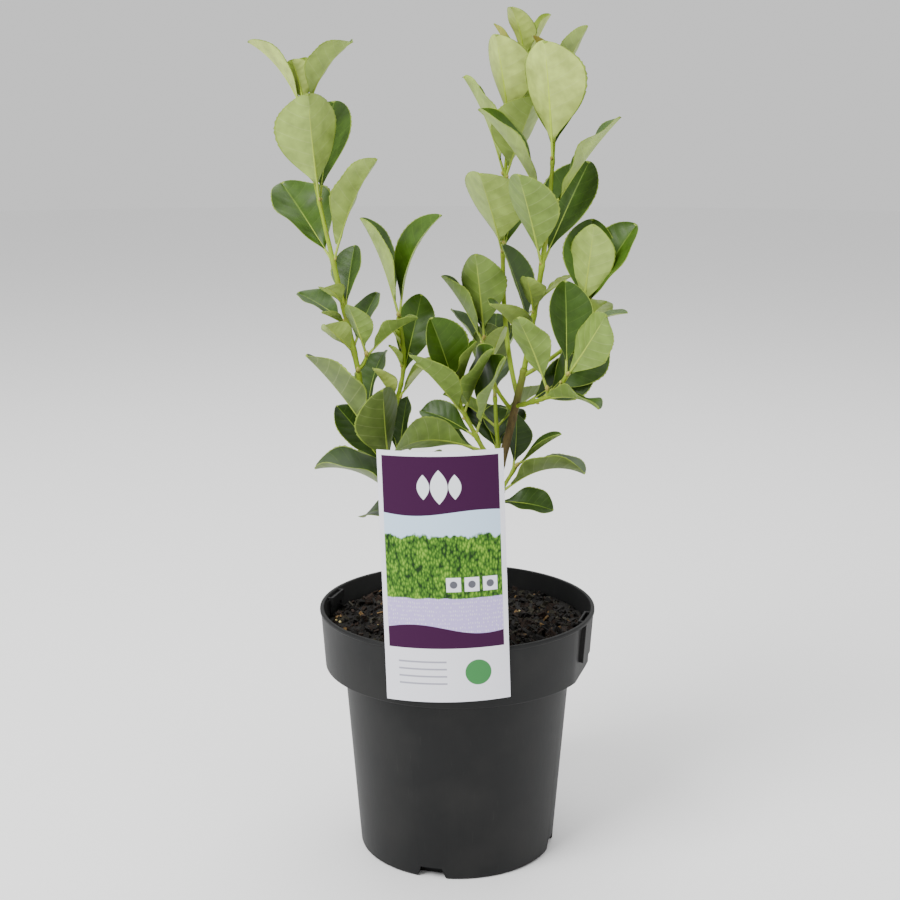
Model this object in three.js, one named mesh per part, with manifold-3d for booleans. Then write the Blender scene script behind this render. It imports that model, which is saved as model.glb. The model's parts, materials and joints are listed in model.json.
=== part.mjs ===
// A young sweet viburnum in a nursery pot, as an assembly of separate solids: the pot with its drain
// notches and label pockets, the potting mix, the clip-on label, the short trunk, the two main stems,
// and the leafy shoots that grow from them in opposite pairs of leaves.
//
// Frame: millimetres, +Z up. The origin is the middle of the pot's flat underside. The front is -Y, and
// the right is +X. A compass angle is 0 towards the front, 90 to the right, 180 to the back, 270 left.
import * as THREE from "three";
import { mergeVertices } from "three/addons/utils/BufferGeometryUtils.js";
import Module from "manifold-3d";

const wasm = await Module();
wasm.setup();

// Driving dimensions of the pot
const CLEARANCE = 0.3;
const POT = {
  rimRadius: 90,
  height: 164.5,
  wall: 1.8,
  lipHeight: 2.6,
  lipOut: 0.7,
  bandFoot: 125,
  bandFootRadius: 86.7,
  bodyTopRadius: 74.2,
  footRadius: 64.6,
  footBevel: 2.2,
  floor: 2.6,
  sides: 48,
};
const BAND_SLOPE =
  (POT.rimRadius - POT.lipOut - POT.bandFootRadius) / (POT.height - POT.lipHeight - POT.bandFoot);
const NOTCH = { count: 4, turn: 75, width: 20, narrow: 14, height: 7.5, depth: 9 };
// Two label pockets on flats of the band: an outer plate on two cheeks, and a frame inside the rim
const POCKET = {
  count: 2,
  turn: 73.5, // compass angle of the first
  width: 22,
  drop: 26.5,
  flatDepth: 2.9,
  plate: 1.3,
  frame: 3.8,
  frameDrop: 6,
};

// Driving dimensions of the potting mix and of the label
const MIX = { top: 152, crown: 2.5 };
const LABEL = {
  width: 77.5,
  height: 155.5,
  foot: 132,
  thick: 0.6,
  radius: 92.2,
  middle: -9, // x of its centre line
  tilt: -2.2, // degrees, its top leans to the left
  tongueWidth: 15,
  tongueTop: 165.2,
  tongueDrop: 9,
  columns: 12,
};

// Driving dimensions of the wood
const TRUNK = {
  x: 4,
  y: 1,
  length: 30,
  lean: [2, 8],
  compass: 90,
  radius: [4.6, 4.0],
  flare: 3.2,
  flareHeight: 9,
};
const STEMS = {
  right_stem: { on: "trunk", at: 30, compass: 88, lean: [19, 14, 12], length: 141, radius: [3.3, 2.3] },
  left_stem: { on: "trunk", at: 18, compass: 270, lean: [38, 31], length: 58, radius: [3.0, 2.6] },
};

// One leaf at a distance along a shoot; most stand in opposite pairs. turn: its compass turn about the
// shoot. blade: its length. spread: degrees between leaf and shoot. arch: degrees that the blade bends
// back. broad: how much wider than usual it is. roll: degrees that it is turned about its midrib.
const leafAt = (along, turn, blade, spread, arch, broad = 1, roll = 0) => {
  return { along, turn, blade, spread, arch, broad, roll };
};

// The leafy shoots, bottom to top on each side. on: what the first shoot of a mass grows from, and at:
// how far along that, in mm. Later shoots of a mass are its twigs. lean: degrees from upright.
const SHOOTS = {
  left_low: [
    { on: "left_stem", at: 58, compass: 278, lean: [28, 25, 18, 4], length: 106, radius: [2.5, 2.0],
      leaves: [
        leafAt(4, 284, 62, 10, 66, 1.25), leafAt(4, 108, 40, 60, 40), leafAt(1, 230, 42, 66, 45),
        leafAt(36, 226, 48, 18, 10, 1.1), leafAt(36, 44, 57, 24, 8, 1.15),
        leafAt(57, 292, 61, 8, 14, 1.3), leafAt(76, 150, 44, 46, 30),
      ] },
  ],
  left_back: [
    { on: "left_stem", at: 46, compass: 232, lean: [36, 26, 6], length: 54, radius: [1.6, 1.1],
      leaves: [
        leafAt(34, 250, 38, 40, 25), leafAt(30, 130, 34, 50, 30), leafAt(52, 190, 46, 34, 14),
        leafAt(53, 130, 34, 14, 10),
      ] },
  ],
  left_side: [
    { on: "left_low", at: 46, compass: 100, lean: [14, 12, 16, -3, -11], length: 94, radius: [1.7, 1.1],
      leaves: [
        leafAt(38, 296, 24, 48, 10, 1.5), leafAt(40, 76, 30, 26, 10, 1.3), leafAt(50, 175, 52, 17, 10, 0.85),
        leafAt(60, 310, 18, 30, 30), leafAt(72, 250, 15, 26, 20), leafAt(93, 270, 57, 4, 20, 1.3),
        leafAt(93, 84, 58, 20, 40, 1.2, 20),
      ] },
  ],
  left_leader: [
    { on: "left_low", at: 106, compass: 248, lean: [13, 14, 13, 4], length: 170, radius: [1.9, 1.1],
      leaves: [
        leafAt(12, 325, 27, 42, 8, 1.3), leafAt(31, 250, 32, 44, 12, 1.3), leafAt(30, 312, 18, 50, 10, 1.1),
        leafAt(15, 132, 36, 40, 12, 1.2), leafAt(42, 345, 26, 44, 50, 1.1), leafAt(38, 140, 38, 26, 10, 1.1),
        leafAt(70, 222, 56, 34, 8, 1.25, -20), leafAt(70, 70, 61, 30, 22, 0.95),
        leafAt(108, 16, 57, 17, 14, 1.25, -10), leafAt(108, 138, 60, 23, 10, 1.15, 26),
        leafAt(163, 82, 48, 22, 38, 1.3, -18), leafAt(163, 262, 48, 20, 38, 1.3, 12),
        leafAt(167, 335, 27, 14, 20, 1.5), leafAt(167, 160, 28, 12, 15, 1.3),
      ] },
    { at: 1, compass: 70, lean: [60, 0], length: 12, radius: [1.1, 0.9],
      leaves: [
        leafAt(12, 330, 31, 26, 8, 1.2), leafAt(11, 66, 36, 37, 25),
      ] },
  ],
  centre_shoot: [
    { on: "right_stem", at: 66, compass: 306, lean: [22, 32, 31, 16], length: 74, radius: [1.7, 1.1],
      leaves: [
        leafAt(23, 281, 62, 44, 56, 1.0, 76), leafAt(20, 244, 46, 48, 60, 1.2), leafAt(34, 240, 34, 34, 50),
        leafAt(8, 320, 36, 44, 60), leafAt(49, 308, 52, 12, 12, 1.25), leafAt(54, 72, 42, 40, 12, 1.35),
        leafAt(36, 72, 50, 42, 10, 1.1), leafAt(62, 300, 34, 18, 14, 0.9),
        leafAt(64, 172, 48, 10, 8, 1.3, 40), leafAt(66, 76, 34, 28, 12),
      ] },
  ],
  back_shoot: [
    { on: "right_stem", at: 74, compass: 185, lean: [46, 34, 10], length: 70, radius: [1.6, 1.1],
      leaves: [
        leafAt(30, 268, 38, 40, 30), leafAt(30, 92, 36, 40, 30), leafAt(50, 350, 44, 26, 10),
        leafAt(50, 178, 44, 42, 15), leafAt(66, 88, 42, 28, 14), leafAt(68, 262, 44, 26, 14),
        leafAt(69, 176, 38, 24, 12), leafAt(12, 150, 40, 22, 8, 1.3, 20),
        leafAt(10, 220, 42, 20, 8, 1.3, -30),
      ] },
  ],
  inner_left: [
    { on: "right_stem", at: 112, compass: 238, lean: [54, 25, 2], length: 52, radius: [1.5, 1.0],
      leaves: [
        leafAt(50, 352, 50, 8, 8, 1.15), leafAt(48, 276, 42, 18, 16, 1.1), leafAt(50, 180, 42, 24, 12),
        leafAt(32, 40, 30, 40, 20),
      ] },
  ],
  right_side_low: [
    { on: "right_stem", at: 116, compass: 44, lean: [74, 68, 25], length: 53, radius: [1.6, 1.2],
      leaves: [
        leafAt(44, 300, 51, 4, 8, 0.95), leafAt(51, 216, 50, 36, 8, 1.1),
        leafAt(16, 112, 48, 0, 40, 0.85, -60), leafAt(24, 200, 46, 44, 8, 1.2),
        leafAt(8, 196, 44, 34, 10, 1.2),
      ] },
    { at: 30, compass: 300, lean: [10, 12], length: 5, radius: [1.2, 1.0],
      leaves: [
        leafAt(4, 322, 46, 14, 14, 0.9, -8),
      ] },
  ],
  low_right: [
    { on: "right_stem", at: 46, compass: 84, lean: [34, 28], length: 34, radius: [1.6, 1.2],
      leaves: [
        leafAt(12, 80, 52, 22, 66, 1.35), leafAt(6, 66, 34, 52, 28, 1.25, 34),
        leafAt(33, 78, 30, 16, 14, 1.1), leafAt(30, 205, 34, 40, 15, 1.1),
      ] },
  ],
  right_side: [
    { on: "right_stem", at: 136, compass: 76, lean: [60, 50, 3], length: 60, radius: [1.6, 1.1],
      leaves: [
        leafAt(55, 326, 52, 8, 8, 1.0), leafAt(57, 182, 52, 14, 6, 1.1), leafAt(57, 98, 52, 16, 10, 1.2, 34),
        leafAt(50, 70, 26, 50, 14), leafAt(46, 150, 30, 50, 15),
      ] },
  ],
  right_second: [
    { on: "right_stem", at: 122, compass: 200, lean: [38, 14, -2], length: 100, radius: [1.7, 1.4],
      leaves: [
        leafAt(94, 330, 53, 27, 8, 1.65), leafAt(94, 150, 42, 30, 12),
      ] },
    { at: 99, compass: 90, lean: [0, 2, 10, 16], length: 115, radius: [1.4, 0.9],
      leaves: [
        leafAt(44, 288, 58, 20, 20), leafAt(42, 45, 48, 18, 8, 1.5), leafAt(72, 312, 52, 26, 8, 1.3),
        leafAt(76, 150, 46, 24, 10), leafAt(107, 262, 30, 36, 10), leafAt(113, 312, 34, 26, 30, 1.1),
        leafAt(113, 96, 30, 8, 10, 1.3),
      ] },
  ],
  right_leader: [
    { on: "right_stem", at: 141, compass: 62, lean: [11, 9, 4, 0], length: 176, radius: [2.0, 1.1],
      leaves: [
        leafAt(12, 302, 40, 38, 30, 1.4), leafAt(35, 322, 26, 24, 15, 1.25), leafAt(44, 98, 24, 40, 10),
        leafAt(24, 234, 50, 33, 10, 1.45), leafAt(66, 316, 56, 33, 8, 1.1), leafAt(66, 145, 62, 28, 8, 1.02),
        leafAt(98, 68, 60, 26, 14), leafAt(100, 278, 62, 30, 22), leafAt(131, 330, 65, 15, 10, 1.22, 8),
        leafAt(131, 172, 58, 18, 10), leafAt(174, 75, 36, 26, 12, 1.15), leafAt(174, 255, 30, 20, 15, 1.2),
      ] },
  ],
};

// How the leaves are made
const LEAF = {
  widthShare: 0.62, // of the blade's length
  widest: 0.58, // how far along the blade
  thick: 0.9,
  petioleShare: 0.2,
  petioleRadius: 0.85,
  fold: 20, // degrees that each half rises from the midrib
  rings: 7,
};

const degrees = (angle) => THREE.MathUtils.degToRad(angle);

// A repeatable stream of numbers from -1 to 1
function wobbleFrom(seed) {
  let state = 1 + (seed % 2147483646);
  return () => {
    state = (state * 16807) % 2147483647;
    return (2 * state) / 2147483647 - 1;
  };
}

// The unit vector at a compass angle, leaning that far from upright
function heading(compass, lean) {
  const c = degrees(compass);
  const l = degrees(lean);
  return new THREE.Vector3(Math.sin(c) * Math.sin(l), -Math.cos(c) * Math.sin(l), Math.cos(l));
}

// A closed body lofted through rings. place(s, angle, rim) says where the point at share s of the length,
// at that angle round the ring, lies; rim is 0 at the middle of an end cap and 1 elsewhere.
function loft(sides, rings, place) {
  const geometry = new THREE.CylinderGeometry(1, 1, 1, sides, rings);
  geometry.deleteAttribute("normal");
  geometry.deleteAttribute("uv");
  const at = geometry.getAttribute("position");
  for (let i = 0; i < at.count; i += 1) {
    const angle = Math.atan2(at.getX(i), at.getZ(i));
    const point = place(at.getY(i) + 0.5, angle, Math.hypot(at.getX(i), at.getZ(i)));
    at.setXYZ(i, point.x, point.y, point.z);
  }
  return mergeVertices(geometry, 1e-4);
}

function solidOf(geometry) {
  const merged = mergeVertices(geometry.clone().deleteAttribute("normal").deleteAttribute("uv"), 1e-4);
  return new wasm.Manifold(
    new wasm.Mesh({
      numProp: 3,
      vertProperties: new Float32Array(merged.getAttribute("position").array),
      triVerts: new Uint32Array(merged.index.array),
    }),
  );
}

function geometryOf(solid) {
  const mesh = solid.getMesh();
  const geometry = new THREE.BufferGeometry();
  geometry.setAttribute("position", new THREE.BufferAttribute(new Float32Array(mesh.vertProperties), 3));
  geometry.setIndex(new THREE.BufferAttribute(new Uint32Array(mesh.triVerts), 1));
  geometry.computeVertexNormals();
  return geometry;
}

function largestBody(solid) {
  return solid.decompose().reduce((a, b) => (a.volume() > b.volume() ? a : b));
}

// The line that a limb or shoot follows: it leaves start, and its lean runs through the values given
function growthLine(start, { compass, lean, length }) {
  const steps = Math.max(4, Math.ceil(length / 8));
  const leanAt = (s) => {
    const place = s * (lean.length - 1);
    const k = Math.min(Math.floor(place), lean.length - 2);
    return lean[k] + (lean[k + 1] - lean[k]) * (place - k);
  };
  const points = [start.clone()];
  const ways = [heading(compass, leanAt(0))];
  for (let i = 1; i <= steps; i += 1) {
    const middle = heading(compass, leanAt((i - 0.5) / steps));
    points.push(points[i - 1].clone().addScaledVector(middle, length / steps));
    ways.push(heading(compass, leanAt(i / steps)));
  }
  return {
    length,
    steps,
    pointAt(along) {
      const place = Math.min(Math.max(along / length, 0), 1) * steps;
      const k = Math.min(Math.floor(place), steps - 1);
      return points[k].clone().lerp(points[k + 1], place - k);
    },
    wayAt(along) {
      const place = Math.min(Math.max(along / length, 0), 1) * steps;
      const k = Math.min(Math.floor(place), steps - 1);
      return ways[k].clone().lerp(ways[k + 1], place - k).normalize();
    },
  };
}

// Two directions square to way: the first towards the front, the second to its right
function sidesOf(way) {
  const front = new THREE.Vector3(0, -1, 0).addScaledVector(way, way.y).normalize();
  const right = new THREE.Vector3().crossVectors(way, front).normalize();
  return { front, right };
}

// A round tapering limb along a growth line
function limb(line, radiusAt, sides, rings) {
  return loft(sides, rings, (s, angle, rim) => {
    const along = s * line.length;
    const { front, right } = sidesOf(line.wayAt(along));
    const r = radiusAt(s) * rim;
    return line
      .pointAt(along)
      .addScaledVector(right, r * Math.sin(angle))
      .addScaledVector(front, r * Math.cos(angle));
  });
}

// Half the blade's width at share t of its length, as a share of its half width at the widest place
function bladeOutline(t) {
  if (t < LEAF.widest) return Math.sin((Math.PI / 2) * (t / LEAF.widest)) ** 1.15;
  return Math.cos((Math.PI / 2) * ((t - LEAF.widest) / (1 - LEAF.widest))) ** 0.62;
}

// One leaf: a stalk, then a folded blade that bends back along its length
function leaf(base, way, size, wobble) {
  const { turn, spread, arch, broad } = size;
  const blade = size.blade * (1 + 0.05 * wobble());
  const { front, right } = sidesOf(way);
  const t0 = degrees(turn + 6 * wobble());
  const out = front.multiplyScalar(Math.cos(t0)).addScaledVector(right, Math.sin(t0));
  const lift = degrees(spread + 4 * wobble());
  const along = way.clone().multiplyScalar(Math.cos(lift)).addScaledVector(out, Math.sin(lift));
  const face = way.clone().multiplyScalar(Math.sin(lift)).addScaledVector(out, -Math.cos(lift));
  const roll = degrees(size.roll + 14 * wobble());
  const side = new THREE.Vector3().crossVectors(along, face);
  const up = face.clone().multiplyScalar(Math.cos(roll)).addScaledVector(side, Math.sin(roll));
  const across = new THREE.Vector3().crossVectors(along, up);
  const fold = degrees(LEAF.fold + 8 * wobble());
  const bend = degrees(arch * (1 + 0.15 * wobble()));
  const stalk = LEAF.petioleShare * blade;
  const rings = LEAF.rings + 1;
  const middles = [base.clone()];
  const faces = [up.clone()];
  for (let k = 1; k <= rings; k += 1) {
    const t = Math.max(0, (k - 1) / LEAF.rings);
    const angle = k === 1 ? 0 : bend * (t - 0.5 / LEAF.rings) ** 1.3;
    const step = k === 1 ? stalk : blade / LEAF.rings;
    const heads = along.clone().multiplyScalar(Math.cos(angle)).addScaledVector(up, -Math.sin(angle));
    middles.push(middles[k - 1].clone().addScaledVector(heads, step));
    const tip = bend * t ** 1.3;
    faces.push(up.clone().multiplyScalar(Math.cos(tip)).addScaledVector(along, Math.sin(tip)));
  }
  return loft(4, rings, (s, angle, rim) => {
    const k = Math.round(s * rings);
    const t = Math.max(0, (k - 1) / LEAF.rings);
    const inBlade = k >= 2;
    const wide = 0.5 * LEAF.widthShare * broad * blade * bladeOutline(Math.min(t, 0.985));
    const half = inBlade ? Math.max(wide, LEAF.petioleRadius) : LEAF.petioleRadius;
    const rise = inBlade ? fold : 0;
    const thick = inBlade ? LEAF.thick / 2 : LEAF.petioleRadius;
    const x = Math.sin(angle) * rim * half;
    const z = Math.cos(angle) * rim * thick;
    return middles[k]
      .clone()
      .addScaledVector(across, x * Math.cos(rise))
      .addScaledVector(faces[k], Math.abs(x) * Math.sin(rise) + z);
  });
}

// The pot: a thin turned shell with a wide band round its top
function pot() {
  const { rimRadius, height, wall, bandFoot, bandFootRadius, bodyTopRadius, footRadius } = POT;
  const lipRadius = rimRadius - POT.lipOut;
  const profile = [
    [0, 0],
    [footRadius - POT.footBevel, 0],
    [footRadius, POT.footBevel],
    [bodyTopRadius, bandFoot],
    [bandFootRadius, bandFoot],
    [lipRadius, height - POT.lipHeight],
    [rimRadius, height - POT.lipHeight + 0.4],
    [rimRadius, height - 0.5],
    [rimRadius - 0.5, height],
    [lipRadius - wall, height],
    [bandFootRadius - wall, bandFoot + wall],
    [bodyTopRadius - wall, bandFoot + wall],
    [footRadius - wall, POT.floor],
    [0, POT.floor],
  ].map(([r, z]) => new THREE.Vector2(r, z));
  const shell = new THREE.LatheGeometry(profile, POT.sides);
  shell.rotateX(Math.PI / 2);
  flatten(shell, (r) => (r > POT.bandFootRadius - 0.1 ? 0 : POT.wall));
  let body = solidOf(shell);
  for (let k = 0; k < POCKET.count; k += 1) body = body.add(pocket(POCKET.turn + (360 / POCKET.count) * k));
  for (let k = 0; k < NOTCH.count; k += 1) body = body.subtract(notch(NOTCH.turn + (360 / NOTCH.count) * k));
  return geometryOf(body);
}

// Draws the band, or what lies inset from its outer face, in to a flat below the lip at each pocket
function flatten(shell, insetOf) {
  const at = shell.getAttribute("position");
  for (let i = 0; i < at.count; i += 1) {
    const point = new THREE.Vector3().fromBufferAttribute(at, i);
    const inBand = point.z > POT.bandFoot - 1 && point.z < POT.height - POT.lipHeight + 0.1;
    const inset = insetOf(Math.hypot(point.x, point.y));
    const limit = POT.bandFootRadius - POCKET.flatDepth + 0.05 * (point.z - POT.bandFoot) - inset;
    for (let k = 0; k < POCKET.count && inBand; k += 1) {
      const way = heading(POCKET.turn + (360 / POCKET.count) * k, 90);
      point.addScaledVector(way, -Math.max(0, point.dot(way) - limit));
    }
    at.setXYZ(i, point.x, point.y, point.z);
  }
}

// A block whose local +X points away from the pot's axis at a compass angle
function facing(geometry, compass) {
  return geometry.applyMatrix4(new THREE.Matrix4().makeRotationZ(degrees(compass - 90)));
}

// The wedge that is cut away at the foot to make one drain notch
function notch(compass) {
  const outline = new THREE.Shape([
    new THREE.Vector2(-NOTCH.width / 2, -1),
    new THREE.Vector2(NOTCH.width / 2, -1),
    new THREE.Vector2(NOTCH.narrow / 2, NOTCH.height),
    new THREE.Vector2(-NOTCH.narrow / 2, NOTCH.height),
  ]);
  const wedge = new THREE.ExtrudeGeometry(outline, { depth: NOTCH.depth + 4, bevelEnabled: false });
  wedge.rotateX(Math.PI / 2);
  wedge.rotateZ(Math.PI / 2);
  wedge.translate(POT.footRadius - NOTCH.depth, 0, 0);
  return solidOf(facing(wedge, compass));
}

// One pocket that takes a label's tongue
function pocket(compass) {
  const { width, drop, flatDepth, plate, frame, frameDrop } = POCKET;
  const { wall, lipOut, rimRadius, height, lipHeight } = POT;
  const plateTop = height - lipHeight + 0.5;
  const face = rimRadius - lipOut - 0.4; // the plate's outer face at its top
  const inside = rimRadius - lipOut - wall;
  const cheek = (width - plate) / 2 - 0.1;
  const deepCheek = flatDepth + 1;
  const cheekOut = face - deepCheek / 2 - 0.1;
  const cheekTop = plateTop - 0.15;
  const cheekDrop = drop - 0.3;
  const arm = cheek - 0.5;
  const frameOut = inside - frame / 2;
  const frameTop = height - 0.6;
  const armTop = frameTop - 0.15;
  const armDrop = frameDrop - 0.3;
  // Each slab, and how far down, out and aside it lies; the cheeks and arms are drawn in a little
  const slabs = [
    { thick: plate, wide: width, deep: drop, out: face - plate / 2, aside: 0, top: plateTop, slope: 1 },
    ...[cheek, -cheek].map((aside) => {
      const top = cheekTop;
      return { thick: deepCheek, wide: plate, deep: cheekDrop, out: cheekOut, aside, top, slope: 1 };
    }),
    { thick: plate, wide: width - 1, deep: frameDrop, out: inside - frame, aside: 0, top: armTop, slope: 0 },
    ...[arm, -arm].map((aside) => {
      return { thick: frame + 1, wide: plate, deep: armDrop, out: frameOut, aside, top: armTop, slope: 0 };
    }),
  ];
  return wasm.Manifold.union(
    slabs.map(({ thick, wide, deep, out, aside, top, slope }) => {
      const slab = new THREE.BoxGeometry(thick, wide, deep);
      slab.translate(0, 0, -deep / 2);
      slab.rotateY(slope * Math.atan(BAND_SLOPE));
      slab.translate(out, aside, top);
      return solidOf(facing(slab, compass));
    }),
  );
}

// The potting mix: it fills the pot and is slightly domed
function mix() {
  const gap = POT.wall + CLEARANCE;
  const topRadius = POT.bandFootRadius - gap - 0.2 + BAND_SLOPE * (MIX.top - POT.bandFoot);
  const profile = [
    [0, POT.floor + CLEARANCE],
    [POT.footRadius - gap - NOTCH.depth, POT.floor + CLEARANCE],
    [POT.footRadius - gap - 0.4, NOTCH.height + 3],
    [POT.bodyTopRadius - gap - 0.2, POT.bandFoot + gap],
    [POT.bandFootRadius - gap - 0.2, POT.bandFoot + gap],
    [topRadius, MIX.top],
    [topRadius * 0.7, MIX.top + MIX.crown * 0.7],
    [TRUNK.radius[0] + TRUNK.flare + 6, MIX.top + MIX.crown],
    [0, MIX.top + MIX.crown],
  ].map(([r, z]) => new THREE.Vector2(r, z));
  const fill = new THREE.LatheGeometry(profile, POT.sides);
  fill.rotateX(Math.PI / 2);
  flatten(fill, () => POT.wall + CLEARANCE);
  return geometryOf(solidOf(fill));
}

// The label: a card bent round the band, whose tongue hooks over the rim and down inside it
function label() {
  const { width, height, foot, thick, radius, middle, columns } = LABEL;
  const tilt = degrees(LABEL.tilt);
  const centre = Math.asin(middle / radius);
  const onCard = (u, v, out) => {
    const x = u * Math.cos(tilt) + (v - height / 2) * Math.sin(tilt);
    const z = foot + height / 2 - u * Math.sin(tilt) + (v - height / 2) * Math.cos(tilt);
    const angle = centre + x / radius;
    return new THREE.Vector3((radius + out) * Math.sin(angle), -(radius + out) * Math.cos(angle), z);
  };
  const bend = (box) => {
    box.deleteAttribute("normal");
    box.deleteAttribute("uv");
    const at = box.getAttribute("position");
    for (let i = 0; i < at.count; i += 1) {
      const p = onCard(at.getX(i), at.getZ(i), -at.getY(i));
      at.setXYZ(i, p.x, p.y, p.z);
    }
    return solidOf(box);
  };
  const card = new THREE.BoxGeometry(width, thick, height, columns, 1, 6);
  card.translate(0, 0, height / 2);
  const bandTop = LABEL.tongueTop - foot;
  const inside = POT.wall + POT.lipOut + 5.2;
  const bridge = new THREE.BoxGeometry(LABEL.tongueWidth, inside, thick + 0.2, 3, 1, 1);
  bridge.translate(0, inside / 2, bandTop);
  const hook = new THREE.BoxGeometry(LABEL.tongueWidth, thick + 0.2, LABEL.tongueDrop, 3, 1, 1);
  hook.translate(0, inside, bandTop - LABEL.tongueDrop / 2 + 0.2);
  return geometryOf(wasm.Manifold.union([bend(card), bend(bridge), bend(hook)]));
}

// Works out the line of every limb and of the main stem of every leafy mass
function growthLines() {
  const foot = new THREE.Vector3(TRUNK.x, TRUNK.y, MIX.top + MIX.crown + CLEARANCE);
  const lines = { trunk: growthLine(foot, TRUNK) };
  const stems = Object.entries(SHOOTS).map(([name, shoots]) => [name, shoots[0]]);
  for (const [name, stem] of [...Object.entries(STEMS), ...stems]) {
    lines[name] = growthLine(lines[stem.on].pointAt(stem.at), stem);
  }
  return lines;
}

function taper(radius) {
  return (s) => radius[0] + (radius[1] - radius[0]) * s;
}

function trunkRadius(s) {
  const above = s * TRUNK.length;
  const flare = above < TRUNK.flareHeight ? TRUNK.flare * (1 - above / TRUNK.flareHeight) ** 2 : 0;
  return taper(TRUNK.radius)(s) + flare;
}

// One leafy mass: its stem, twigs and leaves as one body, kept clear of the limbs that carry it
function foliage(name, shoots, lines, keepOut) {
  const seed = [...name].reduce((sum, letter) => sum * 31 + letter.charCodeAt(0), 7) % 100003;
  const wobble = wobbleFrom(seed);
  const bodies = [];
  for (const shoot of shoots) {
    const line = shoot.on ? lines[name] : growthLine(lines[name].pointAt(shoot.at), shoot);
    bodies.push(limb(line, taper(shoot.radius), 5, line.steps));
    for (const size of shoot.leaves) {
      bodies.push(leaf(line.pointAt(size.along), line.wayAt(size.along), size, wobble));
    }
  }
  const whole = wasm.Manifold.union(bodies.map(solidOf)).subtract(keepOut);
  return geometryOf(largestBody(whole).simplify(0.02));
}

const group = new THREE.Group();

function part(name, geometry, color, roughness) {
  const mesh = new THREE.Mesh(geometry, new THREE.MeshStandardMaterial({ color, roughness, metalness: 0 }));
  mesh.name = name;
  group.add(mesh);
}

part("pot", pot(), 0x3a3b3d, 0.45);
part("potting_mix", mix(), 0x2b211a, 0.95);
part("label", label(), 0xe9e8ee, 0.4);

const lines = growthLines();
const swollen = (line, radius, extra, sides = 8) =>
  solidOf(limb(line, (s) => radius(s) + extra, sides, line.steps));
const trunkClear = swollen(lines.trunk, trunkRadius, CLEARANCE, 10);
part("trunk", geometryOf(swollen(lines.trunk, trunkRadius, 0, 10)), 0x6d5a45, 0.85);
const stemsClear = [trunkClear];
for (const [name, stem] of Object.entries(STEMS)) {
  const radius = taper(stem.radius);
  const clear = wasm.Manifold.union(stemsClear);
  part(name, geometryOf(largestBody(swollen(lines[name], radius, 0).subtract(clear))), 0x76684a, 0.8);
  stemsClear.push(swollen(lines[name], radius, CLEARANCE));
}
for (const [name, shoots] of Object.entries(SHOOTS)) {
  const carried = wasm.Manifold.union(stemsClear);
  part(name, foliage(name, shoots, lines, carried), 0x6d8f45, 0.5);
  stemsClear.push(swollen(lines[name], taper(shoots[0].radius), CLEARANCE, 5));
}

export default group;
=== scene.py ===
"""Dresses a potted sweet viburnum: nursery pot, potting mix, hanging label, wood, shoots and leaves.

Lengths are given in millimetres, as in the part's source, and turned to metres when a vertex is placed.
"""

from __future__ import annotations

import json
import logging
from dataclasses import dataclass, field, replace
from enum import Enum, IntEnum
from functools import partial, partialmethod, reduce
from math import asin, atan, ceil, copysign, cos, exp, fmod, hypot, pi, radians, sin, sqrt
from typing import Any, Callable, Iterator, Sequence, Union

import bmesh
import bpy
from mathutils import Euler, Matrix, Vector, noise

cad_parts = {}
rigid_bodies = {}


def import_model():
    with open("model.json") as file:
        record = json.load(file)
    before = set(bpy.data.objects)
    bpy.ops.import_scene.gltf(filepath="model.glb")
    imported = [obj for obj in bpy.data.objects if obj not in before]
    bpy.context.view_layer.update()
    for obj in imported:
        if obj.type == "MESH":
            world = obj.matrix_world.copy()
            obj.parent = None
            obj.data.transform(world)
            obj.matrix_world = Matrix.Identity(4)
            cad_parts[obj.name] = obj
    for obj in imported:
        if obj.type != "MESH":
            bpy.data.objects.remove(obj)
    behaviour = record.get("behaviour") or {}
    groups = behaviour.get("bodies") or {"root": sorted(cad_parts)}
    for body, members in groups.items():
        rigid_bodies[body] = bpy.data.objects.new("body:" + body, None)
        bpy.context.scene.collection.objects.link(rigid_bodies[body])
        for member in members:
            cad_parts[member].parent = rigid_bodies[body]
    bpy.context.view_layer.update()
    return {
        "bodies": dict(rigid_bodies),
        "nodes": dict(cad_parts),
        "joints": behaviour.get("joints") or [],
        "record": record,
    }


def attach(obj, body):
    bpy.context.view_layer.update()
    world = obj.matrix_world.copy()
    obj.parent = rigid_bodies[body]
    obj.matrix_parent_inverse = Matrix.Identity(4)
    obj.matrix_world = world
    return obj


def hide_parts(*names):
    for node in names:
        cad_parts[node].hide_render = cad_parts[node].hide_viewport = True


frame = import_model()

MM = 0.001
LOG = logging.getLogger("viburnum")
Body = bmesh.types.BMesh
Colour = tuple[float, float, float]
Place = tuple[float, float, float]
Number = Union[float, "Socket"]


# Shader tools


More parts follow.
